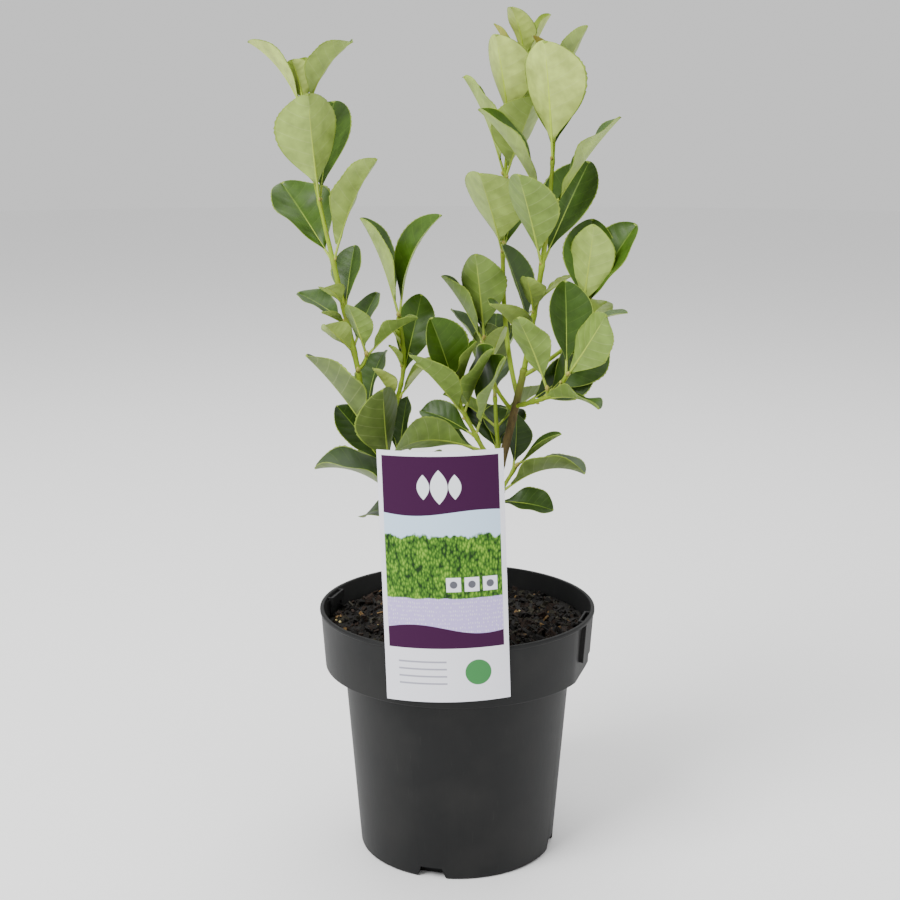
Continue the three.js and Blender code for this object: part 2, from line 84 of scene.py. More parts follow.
class Socket:
    """An output of a node, on which Python's operators add Math nodes."""

    def __init__(self, graph: "Graph", output: bpy.types.NodeSocket) -> None:
        """Keeps the graph and the output that the operators work on."""
        self.graph = graph
        self.output = output

    def _math(self, operation: str, *others: Number) -> "Socket":
        """Adds a Math node for an operation on this and the other values."""
        return self.graph.node("ShaderNodeMath", {"operation": operation}, dict(enumerate((self, *others))))

    __add__ = __radd__ = partialmethod(_math, "ADD")
    __mul__ = __rmul__ = partialmethod(_math, "MULTIPLY")
    __sub__ = partialmethod(_math, "SUBTRACT")
    __truediv__ = partialmethod(_math, "DIVIDE")
    __pow__ = partialmethod(_math, "POWER")
    __abs__ = partialmethod(_math, "ABSOLUTE")
    sine = partialmethod(_math, "SINE")
    arcsine = partialmethod(_math, "ARCSINE")

    def __rsub__(self, other: float) -> "Socket":
        """Subtracts this from a number."""
        return self.graph.node("ShaderNodeMath", {"operation": "SUBTRACT"}, {0: other, 1: self})

    def over(self, edge: Number, soft: float) -> "Socket":
        """A mask, 0 below an edge and 1 above it, which takes a soft width to rise."""
        settings = {"operation": "ADD", "use_clamp": True}
        return self.graph.node("ShaderNodeMath", settings, {0: (self - edge) / soft, 1: 0.5})

    def under(self, edge: Number, soft: float) -> "Socket":
        """Gives the mask that is 1 below an edge and 0 above it."""
        return 1.0 - self.over(edge, soft)


class Graph:
    """The node graph of one material, with its Principled shader."""

    def __init__(self, name: str) -> None:
        """Makes the material and keeps its shader.

        Args:
            name: the material's name.
        """
        self.material = bpy.data.materials.new(name)
        self.material.use_nodes = True
        self.tree = self.material.node_tree
        self.shader = self.tree.nodes["Principled BSDF"]

    def node(
        self, kind: str, settings: dict | None = None, inputs: dict | None = None, out: int | str = 0
    ) -> Socket:
        """Adds one node.

        Args:
            kind: the node's type.
            settings: its properties, set before its sockets.
            inputs: values or links of its sockets, by index or name.
            out: the output that is returned.

        Returns:
            The output, wrapped.
        """
        node = self.tree.nodes.new(kind)
        for key, value in (settings or {}).items():
            setattr(node, key, value)
        for key, value in (inputs or {}).items():
            self.feed(node.inputs[key], value)
        return Socket(self, node.outputs[out])

    def ramp(self, share: Socket, stops: Sequence[tuple[float, Colour]]) -> Socket:
        """Adds a colour ramp.

        Args:
            share: the place along it.
            stops: the place and colour of each stop.

        Returns:
            The colour there.
        """
        colour = self.node("ShaderNodeValToRGB", inputs={0: share})
        elements = colour.output.node.color_ramp.elements
        while len(elements) < len(stops):
            elements.new(0.5)
        for element, (place, tone) in zip(elements, stops):
            element.position, element.color = place, (*tone, 1.0)
        return colour

    def feed(self, target: bpy.types.NodeSocket, value: object) -> None:
        """Links a wrapped output to a socket, or sets the socket's own value.

        Args:
            target: the socket.
            value: the output, number, colour or vector for it.
        """
        if isinstance(value, Socket):
            self.tree.links.new(value.output, target)
        elif isinstance(value, tuple) and len(value) == 3 and target.type == "RGBA":
            target.default_value = (*value, 1.0)
        else:
            target.default_value = value

    def set(self, **values: object) -> None:
        """Sets or links the shader's sockets, with _ for a space in their names."""
        for key, value in values.items():
            self.feed(self.shader.inputs[key.replace("_", " ")], value)

    def place(self) -> Socket:
        """The object's own coordinates, in metres."""
        return self.node("ShaderNodeTexCoord", out="Object")

    def axis(self, name: str) -> Socket:
        """One of the object's own coordinates, in metres."""
        return self.node("ShaderNodeSeparateXYZ", inputs={0: self.place()}, out=name)

    def speckle(self, per_metre: float, detail: float = 3.0, stretch: tuple = (1.0, 1.0, 1.0)) -> Socket:
        """Noise from 0 to 1 on the object's coordinates, with so many features in a metre."""
        where = self.node("ShaderNodeMapping", inputs={"Vector": self.place(), "Scale": stretch})
        return self.node("ShaderNodeTexNoise", inputs={"Vector": where, "Scale": per_metre, "Detail": detail})

    def blend(self, share: Number, first: object, second: object) -> Socket:
        """Mixes two colours, with share 0 for the first and 1 for the second."""
        inputs = {0: share, 6: first, 7: second}
        return self.node("ShaderNodeMix", {"data_type": "RGBA"}, inputs, out=2)

    def bump(self, height: Socket, depth_mm: float, strength: float = 1.0) -> Socket:
        """Adds a Bump node whose depth is in millimetres."""
        inputs = {"Height": height, "Distance": depth_mm * MM, "Strength": strength}
        return self.node("ShaderNodeBump", inputs=inputs, out="Normal")


# Finishes


@dataclass(frozen=True)
class LeafFinish:
    """The skin of one side of a leaf."""

    name: str
    colour: Colour
    roughness: float
    coat: float = 0.0
    shine: float = 0.36
    mottle: float = 0.22
    coat_roughness: float = 0.22
    patch_low: float = 0.28
    patch_gain: float = 2.2

    def vein(self, tone: Colour, share: float, rougher: float) -> "LeafFinish":
        """The finish of this side's veins: a share of another tone, and no coat."""
        colour = tuple((1 - share) * a + share * b for a, b in zip(self.colour, tone))
        return LeafFinish(self.name + "_vein", colour, self.roughness + rougher, shine=self.shine)

    def make(self) -> bpy.types.Material:
        """Builds the leaf material.

        Returns:
            The material.
        """
        g = Graph(self.name)
        light = tuple(min(1.0, c * (1 + self.mottle)) for c in self.colour)
        dark = tuple(c * (1 - self.mottle) for c in self.colour)
        patches = g.speckle(per_metre=130, detail=2.0)
        grain = g.speckle(per_metre=1900, detail=2.0)
        g.set(Base_Color=g.blend((patches - self.patch_low) * self.patch_gain, dark, light))
        g.set(Roughness=self.roughness + 0.12 * (patches - 0.5))
        g.set(Coat_Weight=self.coat, Coat_Roughness=self.coat_roughness)
        g.set(Normal=g.bump(grain + 1.5 * patches, depth_mm=0.05, strength=0.6))
        g.set(Specular_IOR_Level=self.shine)
        return g.material


@dataclass(frozen=True)
class StemFinish:
    """Green or brown stem skin, with fine lengthwise marks, which may turn green above a height in mm."""

    name: str
    colour: Colour
    mark: Colour
    roughness: float
    relief_mm: float
    marks: float = 0.35
    green_from: float = 0.0
    green_soft: float = 1.0
    young: Colour = (0.190, 0.260, 0.022)
    shine: float = 0.28
    uneven_mm: float = 14.0

    def make(self) -> bpy.types.Material:
        """Builds the stem material.

        Returns:
            The material.
        """
        g = Graph(self.name)
        patches = g.speckle(per_metre=420, detail=4.0, stretch=(1.0, 1.0, 0.28))
        dots = g.speckle(per_metre=1300, detail=2.0, stretch=(1.0, 1.0, 0.6))
        share = patches.over(0.9 - self.marks, soft=0.3) * 0.7 + dots.over(0.62, soft=0.08) * 0.35
        colour = g.blend(share, self.colour, self.mark)
        if self.green_from:
            high = g.axis("Z") / MM + self.uneven_mm * patches
            colour = g.blend(high.over(self.green_from, self.green_soft), colour, self.young)
        g.set(Base_Color=colour, Roughness=self.roughness + 0.1 * patches)
        g.set(Normal=g.bump(patches + 0.4 * dots, self.relief_mm), Specular_IOR_Level=self.shine)
        return g.material


@dataclass(frozen=True)
class PlasticFinish:
    """Moulded satin plastic of the pot."""

    name: str = "charcoal_plastic"
    colour: Colour = (0.0075, 0.0078, 0.0080)
    dust: Colour = (0.045, 0.044, 0.040)
    shine: float = 0.2

    def make(self) -> bpy.types.Material:
        """Builds the pot's plastic: satin, with faint vertical scuffs and dust in patches.

        Returns:
            The material.
        """
        g = Graph(self.name)
        scuffs = g.speckle(per_metre=900, stretch=(1.0, 1.0, 0.05))
        patches = g.speckle(per_metre=28)
        grain = g.speckle(per_metre=2600, detail=1.0)
        share = patches.over(0.62, soft=0.4) * 0.22 + scuffs.over(0.68, soft=0.1) * 0.12
        g.set(Base_Color=g.blend(share, self.colour, self.dust))
        g.set(Roughness=0.42 + 0.16 * patches + 0.08 * scuffs, Specular_IOR_Level=self.shine)
        g.set(Normal=g.bump(grain, depth_mm=0.03, strength=0.5))
        return g.material


@dataclass(frozen=True)
class MixFinish:
    """Moist bark, in one of the mix's shades."""

    name: str
    dark: Colour
    light: Colour
    shine: float = 0.25
    relief_mm: float = 0.6

    def make(self) -> bpy.types.Material:
        """Builds one shade of the mix.

        Returns:
            The material.
        """
        g = Graph(self.name)
        crumbs = g.speckle(per_metre=700, detail=5.0)
        g.set(Base_Color=g.blend((crumbs - 0.3) * 2.4, self.dark, self.light))
        g.set(Roughness=0.60 + 0.30 * crumbs, Specular_IOR_Level=self.shine)
        g.set(Normal=g.bump(crumbs, self.relief_mm))
        return g.material


@dataclass(frozen=True)
class CardFinish:
    """Plain back and edges of the label."""

    name: str = "label_card_back"
    colour: Colour = (0.72, 0.72, 0.75)
    shade: Colour = (0.55, 0.55, 0.60)

    def make(self) -> bpy.types.Material:
        """Builds the card's plain face.

        Returns:
            The material.
        """
        g = Graph(self.name)
        fibres = g.speckle(per_metre=1500, detail=2.0)
        g.set(Base_Color=g.blend(fibres * 0.15, self.colour, self.shade), Roughness=0.42 + 0.08 * fibres)
        return g.material


@dataclass(frozen=True)
class PrintFinish:
    """The label's generic print, laid out in millimetres across and up the card.

    Each name with top or foot in it is how far up the card that edge of a part of the print stands.
    """

    card: "Label"
    name: str = "label_print"
    white: Colour = (0.74, 0.74, 0.80)
    purple: Colour = (0.036, 0.003, 0.034)
    lavender: Colour = (0.46, 0.38, 0.70)
    green: Colour = (0.045, 0.20, 0.060)
    sky: Colour = (0.50, 0.66, 0.82)
    silver: Colour = (0.72, 0.76, 0.80)
    ink: Colour = (0.10, 0.10, 0.12)
    grey: Colour = (0.32, 0.32, 0.38)
    leafy: tuple[tuple[float, Colour], ...] = (
        (0.05, (0.20, 0.38, 0.03)),
        (0.42, (0.06, 0.17, 0.015)),
        (0.80, (0.008, 0.03, 0.005)),
    )
    soft: float = 0.3
    border: float = 3.0
    foot_top: float = 34.0
    wavy_top: float = 46.0
    picture_foot: float = 64.0
    sky_foot: float = 97.0
    header_foot: float = 118.0
    header_middle: float = 134.0
    ripple: float = 14.0
    cells: float = 60.0
    disc_at: tuple[float, float, float] = (58.0, 18.5, 8.0)
    tiles_at: tuple[float, float, float] = (45.0, 74.0, 11.0)
    bars_at: tuple[float, float, float] = (24.0, 25.5, 4.6)
    sprigs: tuple[tuple[float, float], ...] = ((38.5, 5.2), (29.0, 3.8), (48.0, 3.8))

    def make(self) -> bpy.types.Material:
        """Builds the print: two bands, a leafy picture, plain tiles and discs.

        Returns:
            The material.
        """
        g = Graph(self.name)
        card, soft = self.card, self.soft
        u, v = self._across_and_up(g)
        uv = g.node("ShaderNodeCombineXYZ", inputs={0: u / card.width, 1: v / card.height})
        tone = g.node("ShaderNodeTexNoise", inputs={"Vector": uv, "Scale": 9.0, "Detail": 6.0})
        wave = (u * 0.075).sine()
        layers = [
            ((v - self.ripple * tone).over(self.sky_foot, 1.2), self.sky),
            (v.under(self.picture_foot + 3.0 * tone, 0.6), self._lavender(g, uv)),
            (v.under(self.wavy_top + 3.0 * wave, soft), self.purple),
            (v.under(self.foot_top, soft), self.white),
            (v.over(self.header_foot - 1.6 * wave, soft), self.purple),
            (self._disc(u, v, *self.disc_at), self.green),
        ]
        first, high, step = self.tiles_at
        for x in (first, first + step, first + 2 * step):
            layers.append((self._tile(u, v, x, high, half=4.4), self.white))
            layers.append((self._disc(u, v, x, high, radius=2.3), self.ink))
        across, top, drop = self.bars_at
        for k in range(4):
            layers.append((self._tile(u, v, across, top - drop * k, half=0.55, wide=15.0), self.grey))
        layers += [(self._sprig(u, v, centre, half), self.silver) for centre, half in self.sprigs]
        colour = self._hedge(g, uv, tone)
        for mask, tint in layers:
            colour = g.blend(mask, colour, tint)
        inside = u.over(self.border, soft) * u.under(card.width - self.border, soft)
        inside = inside * (v.over(self.border, soft) * v.under(card.height - self.border, soft))
        g.set(Base_Color=g.blend(inside, self.white, colour), Roughness=0.50 + 0.08 * tone)
        g.set(Specular_IOR_Level=0.15)
        return g.material

    def _across_and_up(self, g: Graph) -> tuple[Socket, Socket]:
        """Unrolls the bent and tilted card.

        Args:
            g: the material's graph.

        Returns:
            Millimetres across from its left edge, and up from its foot.
        """
        card = self.card
        z = g.axis("Z") / MM - (card.foot + card.height / 2)
        angle = (g.axis("X") / (card.radius * MM)).arcsine()
        arc = (angle - asin(card.middle / card.radius)) * card.radius
        tilt = radians(card.tilt)
        u = arc * cos(tilt) - z * sin(tilt)
        v = arc * sin(tilt) + z * cos(tilt)
        return u + card.width / 2, v + card.height / 2

    def _spots(self, g: Graph, uv: Socket, random: float) -> Socket:
        """Distance from the nearest of many small spots."""
        inputs = {"Vector": uv, "Scale": self.cells, "Randomness": random}
        return g.node("ShaderNodeTexVoronoi", inputs=inputs)

    def _hedge(self, g: Graph, uv: Socket, tone: Socket) -> Socket:
        """The leafy picture."""
        return g.ramp(self._spots(g, uv, random=1.0) * 0.9 + (tone - 0.5) * 0.9, self.leafy)

    def _lavender(self, g: Graph, uv: Socket) -> Socket:
        """The lavender strip with its small pale dots."""
        return g.blend(self._spots(g, uv, random=0.35).under(0.28, 0.1) * 0.6, self.lavender, self.white)

    def _disc(self, u: Socket, v: Socket, x: float, y: float, radius: float) -> Socket:
        """A round mask."""
        return (((u - x) ** 2.0 + (v - y) ** 2.0) ** 0.5).under(radius, self.soft)

    def _tile(self, u: Socket, v: Socket, x: float, y: float, half: float, wide: float = 0.0) -> Socket:
        """A square mask with soft corners, or a bar where wide is half its length."""
        return abs(u - x).under(wide or half, self.soft) * abs(v - y).under(half, self.soft)

    def _sprig(self, u: Socket, v: Socket, centre: float, half: float) -> Socket:
        """A pointed leaf mask in the header."""
        tall = abs(v - self.header_middle) / (half * 2.0)
        return (abs(u - centre) + tall * tall * half).under(half, 0.35)


@dataclass(frozen=True)
class Tint:
    """The finishes of one age of leaf: both sides and the side veins on each."""

    upper: LeafFinish
    under: LeafFinish

    def finishes(self) -> list[LeafFinish]:
        """Upper side, upper veins, underside, underside veins."""
        upper_vein = self.upper.vein((0.20, 0.30, 0.06), share=0.10, rougher=0.05)
        return [self.upper, upper_vein, self.under, self.under.vein((0.55, 0.60, 0.26), 0.14, 0.0)]


class Role(IntEnum):
    """What a face of a leaf's skin is, in the order of its materials."""

    UPPER = 0
    UPPER_VEIN = 1
    UNDER = 2
    UNDER_VEIN = 3
    MIDRIB = 4
    MARGIN = 5

    def below(self) -> "Role":
        """What the face is on the leaf's underside."""
        return (Role.UNDER, Role.UNDER_VEIN, Role.UNDER, Role.UNDER_VEIN, Role.UNDER_VEIN, Role.MARGIN)[self]


class Age(Enum):
    """How old a leaf is, from the hard dark leaves below to the soft pale ones at the tips."""

    OLD = Tint(
        LeafFinish("leaf_dark", (0.022, 0.050, 0.005), 0.42, coat=0.05, shine=0.22),
        LeafFinish("leaf_back_deep", (0.110, 0.165, 0.030), 0.52),
    )
    GROWN = Tint(
        LeafFinish("leaf_green", (0.034, 0.076, 0.006), 0.42, coat=0.05, shine=0.22),
        LeafFinish("leaf_back", (0.165, 0.255, 0.042), 0.52),
    )
    FRESH = Tint(
        LeafFinish("leaf_fresh", (0.046, 0.100, 0.007), 0.42, coat=0.06, shine=0.20),
        LeafFinish("leaf_back_light", (0.275, 0.380, 0.072), 0.52),
    )
    YOUNG = Tint(
        LeafFinish("leaf_young", (0.170, 0.250, 0.016), 0.42, coat=0.06, shine=0.22),
        LeafFinish("leaf_back_young", (0.430, 0.540, 0.110), 0.50),
    )
    BRONZE = Tint(
        LeafFinish("leaf_bronze", (0.160, 0.145, 0.006), 0.42, coat=0.06, shine=0.24),
        LeafFinish("leaf_back_bronze", (0.360, 0.370, 0.035), 0.50),
    )


AGES = list(Age)
MIDRIB = LeafFinish("midrib", (0.120, 0.195, 0.026), 0.50, shine=0.2)
MARGIN = LeafFinish("leaf_margin", (0.225, 0.315, 0.040), 0.45, shine=0.25)
STALK = StemFinish("leaf_stalk", (0.340, 0.450, 0.055), (0.28, 0.34, 0.05), 0.48, 0.04, 0.15)
PALE_STALK = StemFinish("pale_stalk", (0.460, 0.620, 0.050), (0.37, 0.49, 0.04), 0.48, 0.04, 0.15)
GREEN_STEM = StemFinish("green_stem", (0.240, 0.350, 0.018), (0.17, 0.15, 0.03), 0.50, 0.1, 0.25)
BROWN_STEM = StemFinish("brown_stem", (0.118, 0.084, 0.028), (0.054, 0.042, 0.018), 0.72, 0.25)
RIGHT_BARK = replace(BROWN_STEM, name="right_bark", green_from=318.0, green_soft=30.0)
LEFT_BARK = replace(BROWN_STEM, name="left_bark", green_from=220.0, green_soft=14.0)
BUD = StemFinish("bud", (0.40, 0.40, 0.08), (0.30, 0.20, 0.05), 0.45, 0.03)


# Growth


class Wobble:
    """A repeatable stream of numbers from -1 to 1, the same as in the part's source."""

    PRIME = 2147483647
    FACTOR = 16807

    def __init__(self, seed: int) -> None:
        """Starts the stream."""
        self.state = 1 + seed % (self.PRIME - 1)

    def __call__(self) -> float:
        """The next number."""
        self.state = self.state * self.FACTOR % self.PRIME
        return 2 * self.state / self.PRIME - 1

    @classmethod
    def of_name(cls, name: str) -> "Wobble":
        """The stream that belongs to a mass's name."""
        total = reduce(lambda held, letter: held * 31.0 + ord(letter), name, 7.0)
        return cls(int(fmod(total, 100003.0)))


def heading(compass: float, lean: float) -> Vector:
    """The unit vector at a compass angle, leaning that far from upright."""
    c, lean_by = radians(compass), radians(lean)
    return Vector((sin(c) * sin(lean_by), -cos(c) * sin(lean_by), cos(lean_by)))


def between(items: Sequence, share: float) -> Any:
    """Reads a row of numbers or vectors in proportion between two of them.

    Args:
        items: the row.
        share: how far along it, from 0 to 1.

    Returns:
        The number or vector there.
    """
    place = min(max(share, 0.0), 1.0) * (len(items) - 1)
    k = min(int(place), len(items) - 2)
    return items[k] + (items[k + 1] - items[k]) * (place - k)


def outward(way: Vector, turn: float) -> Vector:
    """Finds a direction square to a way.

    Args:
        way: the way.
        turn: radians from the side that faces the front to the right of it.

    Returns:
        The direction.
    """
    front = (Vector((0, -1, 0)) + way * way.y).normalized()
    right = way.cross(front).normalized()
    return front * cos(turn) + right * sin(turn)


@dataclass
class GrowthLine:
    """The line that a limb or shoot follows from its start."""

    start: Vector
    compass: float
    lean: Sequence[float]
    length: float
    step: float = 8.0
    points: list[Vector] = field(default_factory=list)
    ways: list[Vector] = field(default_factory=list)

    def __post_init__(self) -> None:
        """Walks along the line in steps of about 8 mm."""
        steps = max(4, ceil(self.length / self.step))
        self.points = [self.start.copy()]
        self.ways = [heading(self.compass, self.lean[0])]
        for i in range(1, steps + 1):
            middle = heading(self.compass, between(self.lean, (i - 0.5) / steps))
            self.points.append(self.points[-1] + middle * (self.length / steps))
            self.ways.append(heading(self.compass, between(self.lean, i / steps)))

    def point_at(self, along: float) -> Vector:
        """The point at a distance along the line."""
        return between(self.points, along / self.length)

    def way_at(self, along: float) -> Vector:
        """The direction at a distance along the line."""
        return between(self.ways, along / self.length).normalized()

    def around(self, along: float, angle: float, radius: float) -> Vector:
        """The point at a distance along the line and a radius from it."""
        return self.point_at(along) + outward(self.way_at(along), angle) * radius


# Mesh tools


def grid_sheet(across: int, along: int, place: Callable[[int, int], Vector]) -> Body:
    """Makes a sheet from bmesh's grid and puts each vertex where it belongs.

    Args:
        across: the number of faces across.
        along: the number of faces along.
        place: gives the point of a column and a row, in millimetres.

    Returns:
        The sheet, in metres.
    """
    bm = bmesh.new()
    bmesh.ops.create_grid(bm, x_segments=across, y_segments=along, size=1.0)
    for vert in bm.verts:
        column = round((vert.co.x + 1) / 2 * across)
        row = round((vert.co.y + 1) / 2 * along)
        vert.co = place(column, row) * MM
    return bm


def close(bm: Body) -> None:
    """Joins a body's seam, fills its open ends and turns its faces outward.

    Args:
        bm: the body.
    """
    bmesh.ops.remove_doubles(bm, verts=bm.verts, dist=1e-7)
    bmesh.ops.holes_fill(bm, edges=[edge for edge in bm.edges if edge.is_boundary], sides=0)
    bmesh.ops.recalc_face_normals(bm, faces=bm.faces)


def tube(sides: int, rings: int, place: Callable[[float, float], Vector]) -> Body:
    """Makes a closed round body.

    Args:
        sides: the number of sides.
        rings: the number of rings along it.
        place: gives the point at a share of the length and an angle, in millimetres.

    Returns:
        The body, in metres, with both ends closed.
    """
    bm = grid_sheet(sides, rings, lambda i, j: place(j / rings, 2 * pi * (i % sides) / sides))
    close(bm)
    return bm


def cube() -> Body:
    """Makes a cube of side 1 about the origin.

    Returns:
        The cube.
    """
    bm = bmesh.new()
    bmesh.ops.create_cube(bm, size=1.0)
    return bm


def about_z(bm: Body, degrees: float) -> None:
    """Turns a body about the pot's axis."""
    bmesh.ops.rotate(bm, matrix=Matrix.Rotation(radians(degrees), 3, "Z"), verts=bm.verts)


def set_down(bm: Body, size: Vector, turn: Matrix, at: Vector) -> None:
    """Stretches a body of size 1, turns it and moves it.

    Args:
        bm: the body.
        size: its size in millimetres.
        turn: its rotation.
        at: its place in millimetres.
    """
    bmesh.ops.scale(bm, vec=size * MM, verts=bm.verts)
    bmesh.ops.rotate(bm, matrix=turn, verts=bm.verts)
    bmesh.ops.translate(bm, vec=at * MM, verts=bm.verts)


def to_mesh(name: str, bm: Body) -> bpy.types.Mesh:
    """Turns a body into a mesh and frees it.

    Args:
        name: the mesh's name.
        bm: the body.

    Returns:
        The mesh.
    """
    mesh = bpy.data.meshes.new(name)
    bm.to_mesh(mesh)
    bm.free()
    return mesh


def add_object(name: str, data: bpy.types.ID) -> bpy.types.Object:
    """Adds an object to the scene.

    Args:
        name: its name.
        data: its mesh, light or camera.

    Returns:
        The object.
    """
    thing = bpy.data.objects.new(name, data)
    bpy.context.scene.collection.objects.link(thing)
    return thing


class Builder:
    """Gathers bodies in one mesh and turns it into a finished piece."""

    def __init__(self, materials: Sequence[bpy.types.Material]) -> None:
        """Starts an empty mesh with these materials."""
        self.bm = bmesh.new()
        self.materials = list(materials)

    def take(self, body: Body, material: int | None = None) -> None:
        """Adds a body to the mesh and frees it.

        Args:
            body: the body.
            material: the material of all its faces, or None where they have their own.
        """
        if material is not None:
            for face in body.faces:
                face.material_index = material
        held = to_mesh("held", body)
        self.bm.from_mesh(held)
        bpy.data.meshes.remove(held)

    def piece(self, name: str, nodes: Sequence[str], smooth: bool = True) -> bpy.types.Object:
        """Finishes the piece.

        Args:
            name: its name.
            nodes: the CAD nodes that it replaces.
            smooth: whether its faces are shaded smooth.

        Returns:
            The object, riding on the root body.
        """
        for face in self.bm.faces:
            face.smooth = smooth
        mesh = to_mesh(name, self.bm)
        for material in self.materials:
            mesh.materials.append(material)
        thing = add_object(name, mesh)
        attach(thing, "root")
        if nodes:
            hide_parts(*nodes)
        LOG.info("%s: %d faces", name, len(mesh.polygons))
        return thing


# Pot, mix and label


@dataclass
class Pot:
    """The nursery pot: a turned shell with a wide band, two label pockets and four drain notches."""

    rim_radius: float = 90.0
    height: float = 164.5
    wall: float = 1.8
    lip_height: float = 2.6
    lip_out: float = 0.7
    band_foot: float = 125.0
    band_foot_radius: float = 86.7
    body_top_radius: float = 74.2
    foot_radius: float = 64.6
    floor: float = 2.6
    sides: int = 144
    pocket_turn: float = 73.5
    pocket_width: float = 22.0
    pocket_drop: float = 26.5
    flat_depth: float = 2.9
    plate: float = 1.3
    frame_in: float = 3.8
    frame_drop: float = 6.0
    notch_turn: float = 75.0
    notch_width: float = 20.0
    notch_narrow: float = 14.0
    notch_height: float = 7.5
    notch_depth: float = 9.0
    beyond: float = 8.0
    eased: float = 0.25
    sharp_from: float = 35.0

    @property
    def lip_radius(self) -> float:
        """The band's outer radius just under the lip."""
        return self.rim_radius - self.lip_out

    @property
    def slope(self) -> float:
        """How far the band widens for each millimetre of height."""
        return (self.lip_radius - self.band_foot_radius) / (self.height - self.lip_height - self.band_foot)

    def _profile(self) -> list[tuple[float, float, float]]:
        """Lists the corners of half a cut through the pot, from the floor's middle round to it again.

        Returns:
            The radius, height and rounding of each.
        """
        top, wall, foot = self.height, self.wall, self.band_foot
        return [
            (0.0, 0.0, 0.0),
            (self.foot_radius - 0.1, 0.0, 2.0),
            (self.body_top_radius, foot - 2.0, 1.5),
            (self.band_foot_radius - 1.2, foot, 0.0),
            (self.band_foot_radius, foot + 0.6, 0.5),
            (self.lip_radius, top - self.lip_height, 0.3),
            (self.rim_radius, top - self.lip_height + 0.4, 0.3),
            (self.rim_radius, top, 0.8),
            (self.lip_radius - wall, top, 0.5),
            (self.band_foot_radius - wall, foot + wall, 0.8),
            (self.body_top_radius - wall, foot + wall, 0.8),
            (self.foot_radius - wall, self.floor, 1.5),
            (0.0, self.floor, 0.0),
        ]

    def _shell(self) -> Body:
        """Spins the rounded profile.

        Returns:
            The shell.
        """
        bm = bmesh.new()
        corners = self._profile()
        verts = [bm.verts.new((r * MM, 0.0, z * MM)) for r, z, _ in corners]
        for a, b in zip(verts, verts[1:]):
            bm.edges.new((a, b))
        for vert, (_, _, rounding) in zip(verts, corners):
            if rounding:
                around = {"segments": 3, "profile": 0.5, "affect": "VERTICES", "material": -1}
                bmesh.ops.bevel(bm, geom=[vert], offset=rounding * MM, **around)
        whole = {"cent": (0, 0, 0), "axis": (0, 0, 1), "angle": 2 * pi, "use_merge": True}
        bmesh.ops.spin(bm, geom=bm.verts[:] + bm.edges[:], steps=self.sides, **whole)
        bmesh.ops.remove_doubles(bm, verts=bm.verts, dist=1e-7)
        bmesh.ops.recalc_face_normals(bm, faces=bm.faces)
        self.flatten(bm, lambda radius: 0.0 if radius > self.band_foot_radius - 1.3 else self.wall)
        return bm

    def flatten(self, bm: Body, inset: Callable[[float], float]) -> None:
        """Draws the band in to a flat at each pocket.

        Args:
            bm: the mesh to change.
            inset: how far inside the outer face a vertex at a radius in mm lies.
        """
        for vert in bm.verts:
            z = vert.co.z / MM
            if not self.band_foot - 1 < z < self.height - self.lip_height + 0.1:
                continue
            deep = inset(hypot(vert.co.x, vert.co.y) / MM)
            limit = self.band_foot_radius - self.flat_depth + 0.05 * (z - self.band_foot) - deep
            for turn in (self.pocket_turn, self.pocket_turn + 180):
                way = heading(turn, 90)
                vert.co -= way * max(0.0, vert.co.dot(way) - limit * MM)

    def _slab(self, size: tuple, at: tuple, lean: float = 0.0) -> Body:
        """Makes one slab of a label pocket.

        Args:
            size: its thickness, width and drop in mm.
            at: the middle of its upper end: out from the axis, aside and up, in mm.
            lean: how far it leans with the band, in radians.

        Returns:
            Its mesh, with eased edges.
        """
        bm = cube()
        bmesh.ops.translate(bm, vec=(0, 0, -0.5), verts=bm.verts)
        set_down(bm, Vector(size), Matrix.Rotation(lean, 3, "Y"), Vector(at))
        easing = {"segments": 2, "profile": 0.5, "affect": "EDGES", "material": -1}
        bmesh.ops.bevel(bm, geom=bm.edges[:], offset=self.eased * MM, **easing)
        return bm

    def _pocket(self) -> Iterator[Body]:
        """Makes the slabs of one label pocket.

        Yields:
            The outer plate, the frame inside the rim, and two cheeks for each.
        """
        lean = atan(self.slope)
        top, rim = self.height - self.lip_height + 0.5, self.height - 0.7
        face, inside = self.lip_radius - 0.4, self.lip_radius - self.wall
        cheek = (self.pocket_width - self.plate) / 2 - 0.1
        deep = self.flat_depth + 1
        plate = (self.plate, self.pocket_width, self.pocket_drop)
        yield self._slab(plate, (face - self.plate / 2, 0, top), lean)
        frame = (self.plate, self.pocket_width - 1, self.frame_drop)
        yield self._slab(frame, (inside - self.frame_in, 0, rim))
        for side in (-1, 1):
            outer = (deep, self.plate, self.pocket_drop - 0.3)
            yield self._slab(outer, (face - deep / 2 - 0.1, side * cheek, top - 0.15), lean)
            inner = (self.frame_in + 1, self.plate, self.frame_drop - 0.3)
            yield self._slab(inner, (inside - self.frame_in / 2, side * (cheek - 0.5), rim - 0.1))

